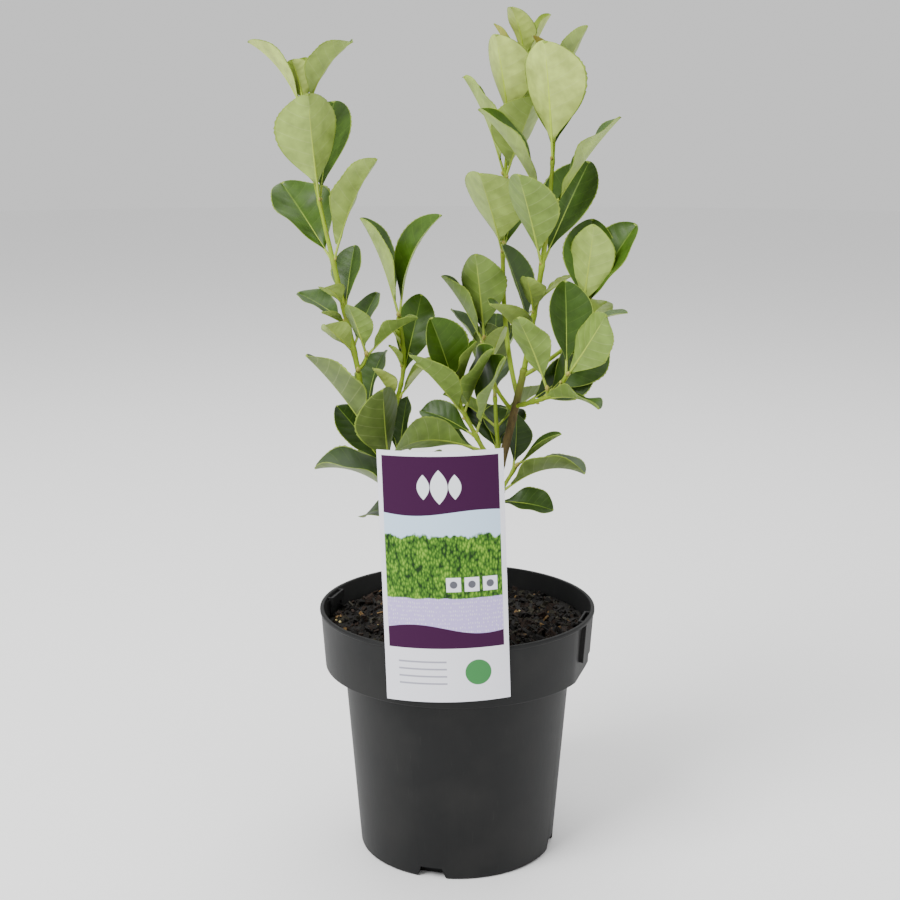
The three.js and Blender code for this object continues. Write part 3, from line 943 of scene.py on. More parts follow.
    def _cut_notches(self, pot: bpy.types.Object) -> None:
        """Cuts the drain notches out of the foot.

        Args:
            pot: the finished pot, whose mesh is changed.
        """
        cutter = Builder([])
        for k in range(4):
            bm = cube()
            for vert in bm.verts:
                low = vert.co.z < 0
                wide = self.notch_width if low else self.notch_narrow
                out = self.foot_radius + (self.beyond if vert.co.x > 0 else -self.notch_depth)
                high = -1.0 if low else self.notch_height
                vert.co = Vector((out, copysign(wide / 2, vert.co.y), high)) * MM
            about_z(bm, self.notch_turn + 90 * k - 90)
            cutter.take(bm)
        tool = add_object("notch_cutter", to_mesh("notch_cutter", cutter.bm))
        cut = pot.modifiers.new("notches", "BOOLEAN")
        cut.operation, cut.solver, cut.object = "DIFFERENCE", "EXACT", tool
        bpy.context.view_layer.update()
        done = bpy.data.meshes.new_from_object(pot.evaluated_get(bpy.context.evaluated_depsgraph_get()))
        pot.modifiers.clear()
        pot.data = done
        done.name = pot.name
        bpy.data.objects.remove(tool)

    def build(self) -> None:
        """Builds the pot and its fittings."""
        plastic = PlasticFinish().make()
        shell = Builder([plastic])
        shell.take(self._shell(), 0)
        pot = shell.piece("pot_shell", ["pot"])
        self._cut_notches(pot)
        pot.data.shade_smooth()
        sharp = pot.modifiers.new("sharp", "EDGE_SPLIT")
        sharp.split_angle = radians(self.sharp_from)
        fittings = Builder([plastic])
        for turn in (self.pocket_turn, self.pocket_turn + 180):
            for slab in self._pocket():
                about_z(slab, turn - 90)
                fittings.take(slab, 0)
        fittings.piece("label_pockets", [], smooth=False)


@dataclass
class PottingMix:
    """Moist bark mix: a rough domed fill with loose chips, prills and a bit of straw on it."""

    pot: Pot
    top: float = 152.0
    crown: float = 2.5
    gap: float = 2.1
    chips: int = 2300
    prills: int = 26
    seed: int = 71
    slack: float = 0.3
    hub: float = 0.4
    edge_drop: float = 0.6
    coarse: float = 0.16
    fine: float = 0.7
    relief: float = 1.1
    shortest: float = 1.7
    longer: float = 6.8
    thinnest: float = 0.9
    tilt: float = 1.2
    uneven: float = 0.22
    shade_draw: tuple[int, ...] = (0, 1, 0, 1, 0, 2)
    shreds_over: float = 0.94
    prill_size: float = 1.9
    rim_gap: float = 4.5
    rings: int = 40
    sectors: int = 120

    def _radius(self, z: float) -> float:
        """The fill's radius at a height in the band."""
        return self.pot.band_foot_radius - self.gap - self.slack + self.pot.slope * (z - self.pot.band_foot)

    def surface(self, x: float, y: float) -> float:
        """Finds the height of the rough surface, all in millimetres.

        Args:
            x: the place to the right.
            y: the place to the back.

        Returns:
            The height.
        """
        away = min(1.0, hypot(x, y) / self._radius(self.top))
        rough = noise.fractal(Vector((x, y, 3.1)) * self.coarse, 0.9, 2.1, 4)
        rough += 0.6 * noise.noise(Vector((x, y, 9.7)) * self.fine)
        return self.top + self.crown * (1 - away**2) + self.relief * rough - 1.0

    def _place(self, i: int, j: int) -> Vector:
        """Places a vertex of the fill: the surface's rings first, then those down the pot's inside.

        Args:
            i: its sector.
            j: its ring.

        Returns:
            The point in millimetres.
        """
        pot, tight = self.pot, self.gap + self.slack
        angle = 2 * pi * (i % self.sectors) / self.sectors
        if j <= self.rings:
            r = self.hub + (self._radius(self.top) - self.hub) * (j / self.rings) ** 0.8
            x, y = r * cos(angle), r * sin(angle)
            return Vector((x, y, self.surface(x, y) - (self.edge_drop if j == self.rings else 0.0)))
        shoulder, foot = pot.band_foot + 2.0, pot.foot_radius - self.gap
        lower = [(pot.band_foot_radius - tight, shoulder), (pot.body_top_radius - tight, shoulder)]
        lower += [(foot - 0.6, 12.0), (foot - 10.0, 3.0), (self.hub, 3.0)]
        r, z = lower[j - self.rings - 1]
        return Vector((r * cos(angle), r * sin(angle), z))

    def _fill(self) -> Body:
        """Makes the closed fill.

        Returns:
            Its mesh, drawn in at the pot's flats.
        """
        bm = grid_sheet(self.sectors, self.rings + 5, self._place)
        close(bm)
        self.pot.flatten(bm, lambda radius: self.gap)
        return bm

    def _lay(self, bm: Body, size: Vector, at: Vector, turn: Euler) -> Body:
        """Lays a body of size 1 at a place whose third number is its height above the surface."""
        set_down(bm, size, turn.to_matrix(), at + Vector((0, 0, self.surface(at.x, at.y))))
        return bm

    def _chip(self, size: Vector, at: Vector, turn: Euler) -> Body:
        """Makes one chip, an uneven block.

        Args:
            size: its length, width and thickness in mm.
            at: its place, with its height above the surface as the third number.
            turn: how it lies.

        Returns:
            Its mesh.
        """
        bm = cube()
        for k, vert in enumerate(bm.verts):
            vert.co += self.uneven * noise.noise_vector(Vector((at.x, at.y, 5.3 * k)))
        return self._lay(bm, size, at, turn)

    def _spot(self, rand: Wobble) -> tuple[float, float]:
        """A random place on the mix, inside the rim."""
        angle, r = pi * rand(), (self._radius(self.top) - self.rim_gap) * sqrt(abs(rand()))
        return r * cos(angle), r * sin(angle)

    def build(self) -> None:
        """Builds the fill and what lies on it."""
        shades = [
            MixFinish("mix_dark", (0.0010, 0.0008, 0.0007), (0.008, 0.006, 0.0045)),
            MixFinish("bark_chip", (0.003, 0.002, 0.0013), (0.026, 0.013, 0.007)),
            MixFinish("bark_chip_grey", (0.006, 0.006, 0.004), (0.046, 0.040, 0.026)),
            MixFinish("bark_shred", (0.060, 0.030, 0.010), (0.210, 0.130, 0.050)),
            MixFinish("prill", (0.45, 0.36, 0.14), (0.62, 0.54, 0.28)),
        ]
        materials = [shade.make() for shade in shades]
        fill = Builder(materials[:1])
        fill.take(self._fill(), 0)
        fill.piece("mix_fill", ["potting_mix"])
        rand = Wobble(self.seed)
        noise.seed_set(self.seed)
        chips = Builder(materials[:4])
        for _ in range(self.chips):
            at = self._spot(rand)
            length = self.shortest + self.longer * abs(rand()) ** 3.0
            wide = length * (0.45 + 0.3 * abs(rand()))
            size = Vector((length, wide, self.thinnest * (1 + abs(rand()))))
            turn = Euler((self.tilt * rand(), self.tilt * rand(), pi * rand()))
            chip = self._chip(size, Vector((*at, 0.25 + 0.35 * rand())), turn)
            shade = self.shade_draw[int(3 + 3 * rand()) % 6]
            chips.take(chip, 3 if rand() > self.shreds_over else shade)
        straw = self._chip(Vector((17.0, 1.5, 0.9)), Vector((-52.0, 14.0, 1.3)), Euler((0.1, -0.05, 0.6)))
        chips.take(straw, 3)
        chips.piece("mix_chips", [], smooth=False)
        prills = Builder(materials[4:])
        for _ in range(self.prills):
            at = Vector((*self._spot(rand), 0.8))
            size = Vector((1, 1, 1)) * (self.prill_size + 0.6 * rand())
            ball = bmesh.new()
            bmesh.ops.create_icosphere(ball, subdivisions=2, radius=0.5)
            prills.take(self._lay(ball, size, at, Euler()), 0)
        prills.piece("mix_prills", [])


@dataclass
class Label:
    """The card that hangs on the front, bent round the band, with a tongue over the rim."""

    width: float = 77.5
    height: float = 155.5
    foot: float = 132.0
    thick: float = 0.6
    radius: float = 92.2
    middle: float = -9.0
    tilt: float = -2.2
    tongue_width: float = 15.0
    tongue_top: float = 165.2
    tongue_drop: float = 9.0
    tongue_thick: float = 0.8
    inside: float = 7.7
    columns: int = 40
    rows: int = 12

    def on_card(self, u: float, v: float, out: float) -> Vector:
        """The place of a point of the flat card.

        Args:
            u: from the card's middle to the right.
            v: from its foot up.
            out: in front of its middle layer.

        Returns:
            The point on the bent card, in millimetres.
        """
        tilt, half = radians(self.tilt), self.height / 2
        x = u * cos(tilt) + (v - half) * sin(tilt)
        z = self.foot + half - u * sin(tilt) + (v - half) * cos(tilt)
        angle, r = asin(self.middle / self.radius) + x / self.radius, self.radius + out
        return Vector((r * sin(angle), -r * cos(angle), z))

    def _card(self) -> Body:
        """Makes the card.

        Returns:
            The bent card; faces of its front have material 0 and the rest 1.
        """
        bm = bmesh.new()
        bmesh.ops.create_grid(bm, x_segments=self.columns, y_segments=self.rows, size=0.5)
        for vert in bm.verts:
            vert.co = Vector((vert.co.x * self.width, 0.0, (vert.co.y + 0.5) * self.height)) * MM
        bm.normal_update()
        bmesh.ops.solidify(bm, geom=bm.faces[:], thickness=self.thick * MM)
        bmesh.ops.recalc_face_normals(bm, faces=bm.faces)
        for face in bm.faces:
            face.material_index = 0 if face.normal.y < -0.5 else 1
        deep = [vert.co.y for vert in bm.verts]
        middle = (min(deep) + max(deep)) / 2
        for vert in bm.verts:
            u, v = vert.co.x / MM, vert.co.z / MM
            vert.co = self.on_card(u, v, -(vert.co.y - middle) / MM) * MM
        return bm

    def _strip(self, size: Vector, at: Vector) -> Body:
        """Makes one strip of the tongue.

        Args:
            size: its width, depth and height in mm.
            at: its middle on the flat card: across, inward and up.

        Returns:
            Its bent mesh.
        """
        bm = cube()
        bmesh.ops.scale(bm, vec=size, verts=bm.verts)
        across = [edge for edge in bm.edges if abs(edge.verts[0].co.x - edge.verts[1].co.x) > 1]
        bmesh.ops.subdivide_edges(bm, edges=across, cuts=4)
        for vert in bm.verts:
            spot = vert.co + at
            vert.co = self.on_card(spot.x, spot.z, -spot.y) * MM
        return bm

    def build(self) -> None:
        """Builds the label."""
        label = Builder([PrintFinish(self).make(), CardFinish().make()])
        label.take(self._card())
        wide, thick, high = self.tongue_width, self.tongue_thick, self.tongue_top - self.foot
        bridge = self._strip(Vector((wide, self.inside, thick)), Vector((0, self.inside / 2, high)))
        hook_at = Vector((0, self.inside, high - self.tongue_drop / 2 + thick / 4))
        label.take(bridge, 1)
        label.take(self._strip(Vector((wide, thick, self.tongue_drop)), hook_at), 1)
        label.piece("hanging_label", ["label"], smooth=False)


# Wood, shoots and leaves


@dataclass
class Limb:
    """A woody limb with the relief of young bark."""

    name: str
    line: GrowthLine
    radius: tuple[float, float]
    finish: StemFinish
    flare: float = 0.0
    flare_height: float = 9.0
    ridge: float = 0.16
    grain: float = 0.1
    ring: float = 0.28
    ring_step: float = 31.0
    ring_at: float = 15.0
    row: float = 1.2
    sides: int = 20

    def _place(self, share: float, angle: float) -> Vector:
        """Places a point of the bark, with ridges along it and a swollen ring where old leaves stood.

        Args:
            share: its share of the length.
            angle: its angle round the limb.

        Returns:
            The point in millimetres.
        """
        along = share * self.line.length
        c, s = cos(angle), sin(angle)
        r = self.radius[0] + (self.radius[1] - self.radius[0]) * share
        if along < self.flare_height:
            r += self.flare * (1 - along / self.flare_height) ** 2
        r += self.ridge * noise.noise(Vector((3.0 * c, 3.0 * s, along * 0.11)))
        r += self.grain * noise.noise(Vector((7.0 * c, 7.0 * s, along * 0.5)))
        r += self.ring * exp(-(((along % self.ring_step - self.ring_at) / 1.6) ** 2))
        return self.line.around(along, angle, r)

    def build(self) -> None:
        """Builds the limb."""
        limb = Builder([self.finish.make()])
        limb.take(tube(self.sides, max(24, int(self.line.length / self.row)), self._place), 0)
        limb.piece(self.name + "_bark", [self.name])


@dataclass
class Leaf:
    """One leaf as the part's source states it."""

    along: float
    turn: float
    blade: float
    spread: float
    arch: float
    broad: float = 1.0
    roll: float = 0.0


@dataclass
class Shoot:
    """One stem with its leaves. What it grows on is another mass or limb, or for a twig its own mass."""

    on: str
    at: float
    compass: float
    lean: Sequence[float]
    length: float
    radius: tuple[float, float]
    leaves: Sequence[Leaf]

    def skin(self, line: GrowthLine, share: float, angle: float) -> Vector:
        """Places a point of the green stem, which swells where leaves stand.

        Args:
            line: the stem's line.
            share: the share of its length.
            angle: the angle round it.

        Returns:
            The point in millimetres.
        """
        along, (foot, tip) = share * line.length, self.radius
        swell = sum(exp(-(((along - leaf.along) / 1.8) ** 2)) for leaf in self.leaves)
        flat = 1.0 + 0.06 * cos(2 * angle + along * 0.05)
        return line.around(along, angle, (foot + (tip - foot) * share) * flat + 0.35 * min(1.0, swell))


# Each shoot: what it grows on and how far along, its compass angle, its leans from upright on the way up,
# its length and its radius at the foot and the tip. Each leaf: how far along, its turn round the shoot, its
# blade's length, how far it spreads from the shoot, its arch, and where they differ its breadth and roll.
SHOOTS: dict[str, list[Shoot]] = {
    "left_low": [
        Shoot("left_stem", 58, 278, (28, 25, 18, 4), 106, (2.5, 2.0), [
            Leaf(4, 284, 62, 10, 66, 1.25), Leaf(4, 108, 40, 60, 40), Leaf(1, 230, 42, 66, 45),
            Leaf(36, 226, 48, 18, 10, 1.1), Leaf(36, 44, 57, 24, 8, 1.15), Leaf(57, 292, 61, 8, 14, 1.3),
            Leaf(76, 150, 44, 46, 30),
        ]),
    ],
    "left_back": [
        Shoot("left_stem", 46, 232, (36, 26, 6), 54, (1.6, 1.1), [
            Leaf(34, 250, 38, 40, 25), Leaf(30, 130, 34, 50, 30), Leaf(52, 190, 46, 34, 14),
            Leaf(53, 130, 34, 14, 10),
        ]),
    ],
    "left_side": [
        Shoot("left_low", 46, 100, (14, 12, 16, -3, -11), 94, (1.7, 1.1), [
            Leaf(38, 296, 24, 48, 10, 1.5), Leaf(40, 76, 30, 26, 10, 1.3), Leaf(50, 175, 52, 17, 10, 0.85),
            Leaf(60, 310, 18, 30, 30), Leaf(72, 250, 15, 26, 20), Leaf(93, 270, 57, 4, 20, 1.3),
            Leaf(93, 84, 58, 20, 40, 1.2, 20),
        ]),
    ],
    "left_leader": [
        Shoot("left_low", 106, 248, (13, 14, 13, 4), 170, (1.9, 1.1), [
            Leaf(12, 325, 27, 42, 8, 1.3), Leaf(31, 250, 32, 44, 12, 1.3), Leaf(30, 312, 18, 50, 10, 1.1),
            Leaf(15, 132, 36, 40, 12, 1.2), Leaf(42, 345, 26, 44, 50, 1.1), Leaf(38, 140, 38, 26, 10, 1.1),
            Leaf(70, 222, 56, 34, 8, 1.25, -20), Leaf(70, 70, 61, 30, 22, 0.95),
            Leaf(108, 16, 57, 17, 14, 1.25, -10), Leaf(108, 138, 60, 23, 10, 1.15, 26),
            Leaf(163, 82, 48, 22, 38, 1.3, -18), Leaf(163, 262, 48, 20, 38, 1.3, 12),
            Leaf(167, 335, 27, 14, 20, 1.5), Leaf(167, 160, 28, 12, 15, 1.3),
        ]),
        Shoot("own", 1, 70, (60, 0), 12, (1.1, 0.9), [
            Leaf(12, 330, 31, 26, 8, 1.2), Leaf(11, 66, 36, 37, 25),
        ]),
    ],
    "centre_shoot": [
        Shoot("right_stem", 66, 306, (22, 32, 31, 16), 74, (1.7, 1.1), [
            Leaf(23, 281, 62, 44, 56, 1.0, 76), Leaf(20, 244, 46, 48, 60, 1.2), Leaf(34, 240, 34, 34, 50),
            Leaf(8, 320, 36, 44, 60), Leaf(49, 308, 52, 12, 12, 1.25), Leaf(54, 72, 42, 40, 12, 1.35),
            Leaf(36, 72, 50, 42, 10, 1.1), Leaf(62, 300, 34, 18, 14, 0.9), Leaf(64, 172, 48, 10, 8, 1.3, 40),
            Leaf(66, 76, 34, 28, 12),
        ]),
    ],
    "back_shoot": [
        Shoot("right_stem", 74, 185, (46, 34, 10), 70, (1.6, 1.1), [
            Leaf(30, 268, 38, 40, 30), Leaf(30, 92, 36, 40, 30), Leaf(50, 350, 44, 26, 10),
            Leaf(50, 178, 44, 42, 15), Leaf(66, 88, 42, 28, 14), Leaf(68, 262, 44, 26, 14),
            Leaf(69, 176, 38, 24, 12), Leaf(12, 150, 40, 22, 8, 1.3, 20), Leaf(10, 220, 42, 20, 8, 1.3, -30),
        ]),
    ],
    "inner_left": [
        Shoot("right_stem", 112, 238, (54, 25, 2), 52, (1.5, 1.0), [
            Leaf(50, 352, 50, 8, 8, 1.15), Leaf(48, 276, 42, 18, 16, 1.1), Leaf(50, 180, 42, 24, 12),
            Leaf(32, 40, 30, 40, 20),
        ]),
    ],
    "right_side_low": [
        Shoot("right_stem", 116, 44, (74, 68, 25), 53, (1.6, 1.2), [
            Leaf(44, 300, 51, 4, 8, 0.95), Leaf(51, 216, 50, 36, 8, 1.1),
            Leaf(16, 112, 48, 0, 40, 0.85, -60), Leaf(24, 200, 46, 44, 8, 1.2),
            Leaf(8, 196, 44, 34, 10, 1.2),
        ]),
        Shoot("own", 30, 300, (10, 12), 5, (1.2, 1.0), [
            Leaf(4, 322, 46, 14, 14, 0.9, -8),
        ]),
    ],
    "low_right": [
        Shoot("right_stem", 46, 84, (34, 28), 34, (1.6, 1.2), [
            Leaf(12, 80, 52, 22, 66, 1.35), Leaf(6, 66, 34, 52, 28, 1.25, 34), Leaf(33, 78, 30, 16, 14, 1.1),
            Leaf(30, 205, 34, 40, 15, 1.1),
        ]),
    ],
    "right_side": [
        Shoot("right_stem", 136, 76, (60, 50, 3), 60, (1.6, 1.1), [
            Leaf(55, 326, 52, 8, 8, 1.0), Leaf(57, 182, 52, 14, 6, 1.1), Leaf(57, 98, 52, 16, 10, 1.2, 34),
            Leaf(50, 70, 26, 50, 14), Leaf(46, 150, 30, 50, 15),
        ]),
    ],
    "right_second": [
        Shoot("right_stem", 122, 200, (38, 14, -2), 100, (1.7, 1.4), [
            Leaf(94, 330, 53, 27, 8, 1.65), Leaf(94, 150, 42, 30, 12),
        ]),
        Shoot("own", 99, 90, (0, 2, 10, 16), 115, (1.4, 0.9), [
            Leaf(44, 288, 58, 20, 20), Leaf(42, 45, 48, 18, 8, 1.5), Leaf(72, 312, 52, 26, 8, 1.3),
            Leaf(76, 150, 46, 24, 10), Leaf(107, 262, 30, 36, 10), Leaf(113, 312, 34, 26, 30, 1.1),
            Leaf(113, 96, 30, 8, 10, 1.3),
        ]),
    ],
    "right_leader": [
        Shoot("right_stem", 141, 62, (11, 9, 4, 0), 176, (2.0, 1.1), [
            Leaf(12, 302, 40, 38, 30, 1.4), Leaf(35, 322, 26, 24, 15, 1.25), Leaf(44, 98, 24, 40, 10),
            Leaf(24, 234, 50, 33, 10, 1.45), Leaf(66, 316, 56, 33, 8, 1.1), Leaf(66, 145, 62, 28, 8, 1.02),
            Leaf(98, 68, 60, 26, 14), Leaf(100, 278, 62, 30, 22), Leaf(131, 330, 65, 15, 10, 1.22, 8),
            Leaf(131, 172, 58, 18, 10), Leaf(174, 75, 36, 26, 12, 1.15), Leaf(174, 255, 30, 20, 15, 1.2),
        ]),
    ],
}


class Blade:
    """Places a leaf's skin, veins and stalk in space by the rule of the part's source."""

    WIDTH_SHARE = 0.62
    WIDEST = 0.58
    THICK = 0.5
    STALK_SHARE = 0.2
    STALK_RADIUS = 0.85
    RIB_SHARE = 0.93
    RIB_SUNK = 0.30
    FOLD = 20.0
    STEPS = 40
    ARCH_POWER = 1.3
    WAVE = 0.014

    def __init__(self, base: Vector, way: Vector, leaf: Leaf, wobble: Wobble, ripple: Wobble) -> None:
        """Works out the leaf's directions and its bent middle line.

        Args:
            base: where it grows from.
            way: the shoot's direction there.
            leaf: its sizes.
            wobble: the mass's own stream, read six times in the source's order.
            ripple: a second stream, for the waves of the margin.
        """
        self.base = base
        self.blade = leaf.blade * (1 + 0.05 * wobble())
        self.widest = 0.5 * self.WIDTH_SHARE * leaf.broad * self.blade
        out = outward(way, radians(leaf.turn + 6 * wobble()))
        lift = radians(leaf.spread + 4 * wobble())
        self.heads = way * cos(lift) + out * sin(lift)
        face = way * sin(lift) - out * cos(lift)
        roll = radians(leaf.roll + 14 * wobble())
        self.up = face * cos(roll) + self.heads.cross(face) * sin(roll)
        self.across = self.heads.cross(self.up)
        self.fold = radians(self.FOLD + 8 * wobble())
        self.bend = radians(leaf.arch * (1 + 0.15 * wobble()))
        self.stalk = self.STALK_SHARE * self.blade
        self.phase, self.wave = 3.1 * ripple(), self.WAVE * (1.0 + ripple())
        self.middles = [base + self.heads * self.stalk]
        for k in range(self.STEPS):
            angle = self.bend * ((k + 0.5) / self.STEPS) ** self.ARCH_POWER
            step = self.heads * cos(angle) - self.up * sin(angle)
            self.middles.append(self.middles[-1] + step * (self.blade / self.STEPS))

    def face(self, t: float) -> Vector:
        """The direction that the upper side faces at a share of the length."""
        tip = self.bend * t**self.ARCH_POWER
        return self.up * cos(tip) + self.heads * sin(tip)

    def half_width(self, t: float) -> float:
        """Finds half the blade's width.

        Args:
            t: the share of the blade's length.

        Returns:
            Half the width, never less than the stalk's.
        """
        t = min(t, 0.997)
        if t < self.WIDEST:
            share = sin(pi / 2 * t / self.WIDEST) ** 1.15
        else:
            share = cos(pi / 2 * (t - self.WIDEST) / (1 - self.WIDEST)) ** 0.62
        return max(self.widest * share, self.STALK_RADIUS)

    def point(self, t: float, share: float, relief: float) -> Vector:
        """A point of the skin.

        Args:
            t: the share of the blade's length.
            share: from -1 at one margin to 1 at the other.
            relief: millimetres above the blade's middle layer.

        Returns:
            The point, in millimetres.
        """
        half, away, swing = self.half_width(t), abs(share), self.blade * self.wave
        rise = half * sin(self.fold) * away**1.35
        rise += swing * sin(self.phase + 15.0 * t + 1.3 * copysign(1.0, share)) * away**2
        rise += 0.6 * swing * sin(2.0 * self.phase + 8.0 * t + 2.2 * share) * away
        aside = self.across * (share * half * cos(self.fold))
        return between(self.middles, t) + aside + self.face(t) * (rise + relief)

    def rib(self, share: float, angle: float) -> Vector:
        """Places a point of the stalk, and of the rib that runs on under the blade.

        Args:
            share: the share of their length.
            angle: the angle round them.

        Returns:
            The point in millimetres.
        """
        along = share * (self.stalk + self.RIB_SHARE * self.blade)
        t = (along - self.stalk) / self.blade
        sunk = self.RIB_SUNK * min(1.0, max(0.0, t / 0.12 + 0.2))
        r = self.STALK_RADIUS * (1.0 - 0.74 * max(0.0, t) ** 0.8)
        r *= 1.0 + 0.25 * exp(-((along / 2) ** 2))
        middle, up = self.base + self.heads * along, self.up
        if t >= 0:
            middle, up = between(self.middles, t), self.face(t)
        high = r * (1 - sunk) * cos(angle) - sunk
        return middle + self.across * (r * sin(angle)) + up * high


class LeafPattern:
    """The flat pattern of a leaf's skin, copied and bent for each leaf.

    Rows sweep forward from the midrib to the margin as the side veins do, so each vein is a row of its own.
    """

    VEINS = 7
    VEIN_FROM = 0.06
    VEIN_REACH = 0.80
    VEIN_HALF = 0.0045
    SHARES = (0.0, 0.028, 0.16, 0.34, 0.52, 0.70, 0.86, 0.955, 1.0)
    TIP_ROWS = (0.90, 0.94, 0.975, 1.0)
    TOOTH = 0.014
    SWEEP = 0.17

    def __init__(self) -> None:
        """Makes the pattern as a closed skin and notes what each vertex and face is."""
        step = self.VEIN_REACH / (self.VEINS - 1)
        self.veins = [self.VEIN_FROM + step * k for k in range(self.VEINS)]
        shifts = (-self.VEIN_HALF, self.VEIN_HALF, 0.3 * step, 0.55 * step, 0.78 * step)
        rows = [0.0] + [vein + shift for vein in self.veins for shift in shifts]
        self.rows = rows[:-3] + list(self.TIP_ROWS)
        self.columns = [-s for s in reversed(self.SHARES[1:])] + list(self.SHARES)
        self.mesh = self._skin()

    def is_vein(self, row: int) -> bool:
        """Whether the faces above this row line are a side vein."""
        return row < len(self.rows) - 5 and row % 5 == 1

    def _skin(self) -> bpy.types.Mesh:
        """Makes the two sheets and closes them at the margin.

        Returns:
            The mesh: x holds the column, y the row, and z 1 above and -1 below.
        """
        across, along = len(self.columns) - 1, len(self.rows) - 1
        bm = grid_sheet(across, along, lambda i, j: Vector((i, j, 1)) / MM)
        for face in bm.faces:
            i, j = (min(round(v.co[k]) for v in face.verts) for k in (0, 1))
            if i in (0, across - 1) or j == along - 1:
                face.material_index = Role.MARGIN
            elif i in (across // 2 - 1, across // 2):
                face.material_index = Role.MIDRIB
            else:
                face.material_index = Role.UPPER_VEIN if self.is_vein(j) else Role.UPPER
        lower = bmesh.ops.duplicate(bm, geom=bm.verts[:] + bm.edges[:] + bm.faces[:])["geom"]
        for item in lower:
            if isinstance(item, bmesh.types.BMVert):
                item.co.z = -1
            elif isinstance(item, bmesh.types.BMFace):
                item.material_index = Role(item.material_index).below()
        rims = [edge for edge in bm.edges if edge.is_boundary]
        for face in bmesh.ops.bridge_loops(bm, edges=rims)["faces"]:
            face.material_index = Role.MARGIN
        bmesh.ops.recalc_face_normals(bm, faces=bm.faces)
        return to_mesh("leaf_pattern", bm)

    def _relief(self, i: int, j: int) -> float:
        """Finds how far the skin bulges between its veins.

        Args:
            i: the column.
            j: the row.

        Returns:
            Millimetres above the middle layer, less than none along the midrib.
        """
        share = abs(self.columns[i])
        near = min(abs(self.rows[j] - vein) for vein in self.veins)
        bulge = 0.19 * min(1.0, near / 0.05) * sin(pi * min(1.0, share)) ** 0.7
        return bulge - (0.25 if share <= self.SHARES[1] else 0.0)

    def fit(self, blade: Blade) -> Body:
        """Bends a copy of the pattern to one leaf.

        Args:
            blade: the leaf's shape.

        Returns:
            The leaf's skin.
        """
        bm = bmesh.new()
        bm.from_mesh(self.mesh)
        for vert in bm.verts:
            i, j = round(vert.co.x), round(vert.co.y)
            share, row = self.columns[i], self.rows[j]
            t = min(1.0, row + self.SWEEP * sin(pi * row) ** 0.8 * abs(share) ** 1.25)
            if abs(share) == 1.0 and 0.3 < row < 0.97:
                share *= 1.0 + self.TOOTH * (1 if j % 2 else -1)
            half_thick = Blade.THICK / 2 * (1.0 - 0.55 * abs(share) ** 3)
            relief = self._relief(i, j) + (half_thick if vert.co.z > 0 else -half_thick)
            vert.co = blade.point(t, share, relief) * MM
        return bm


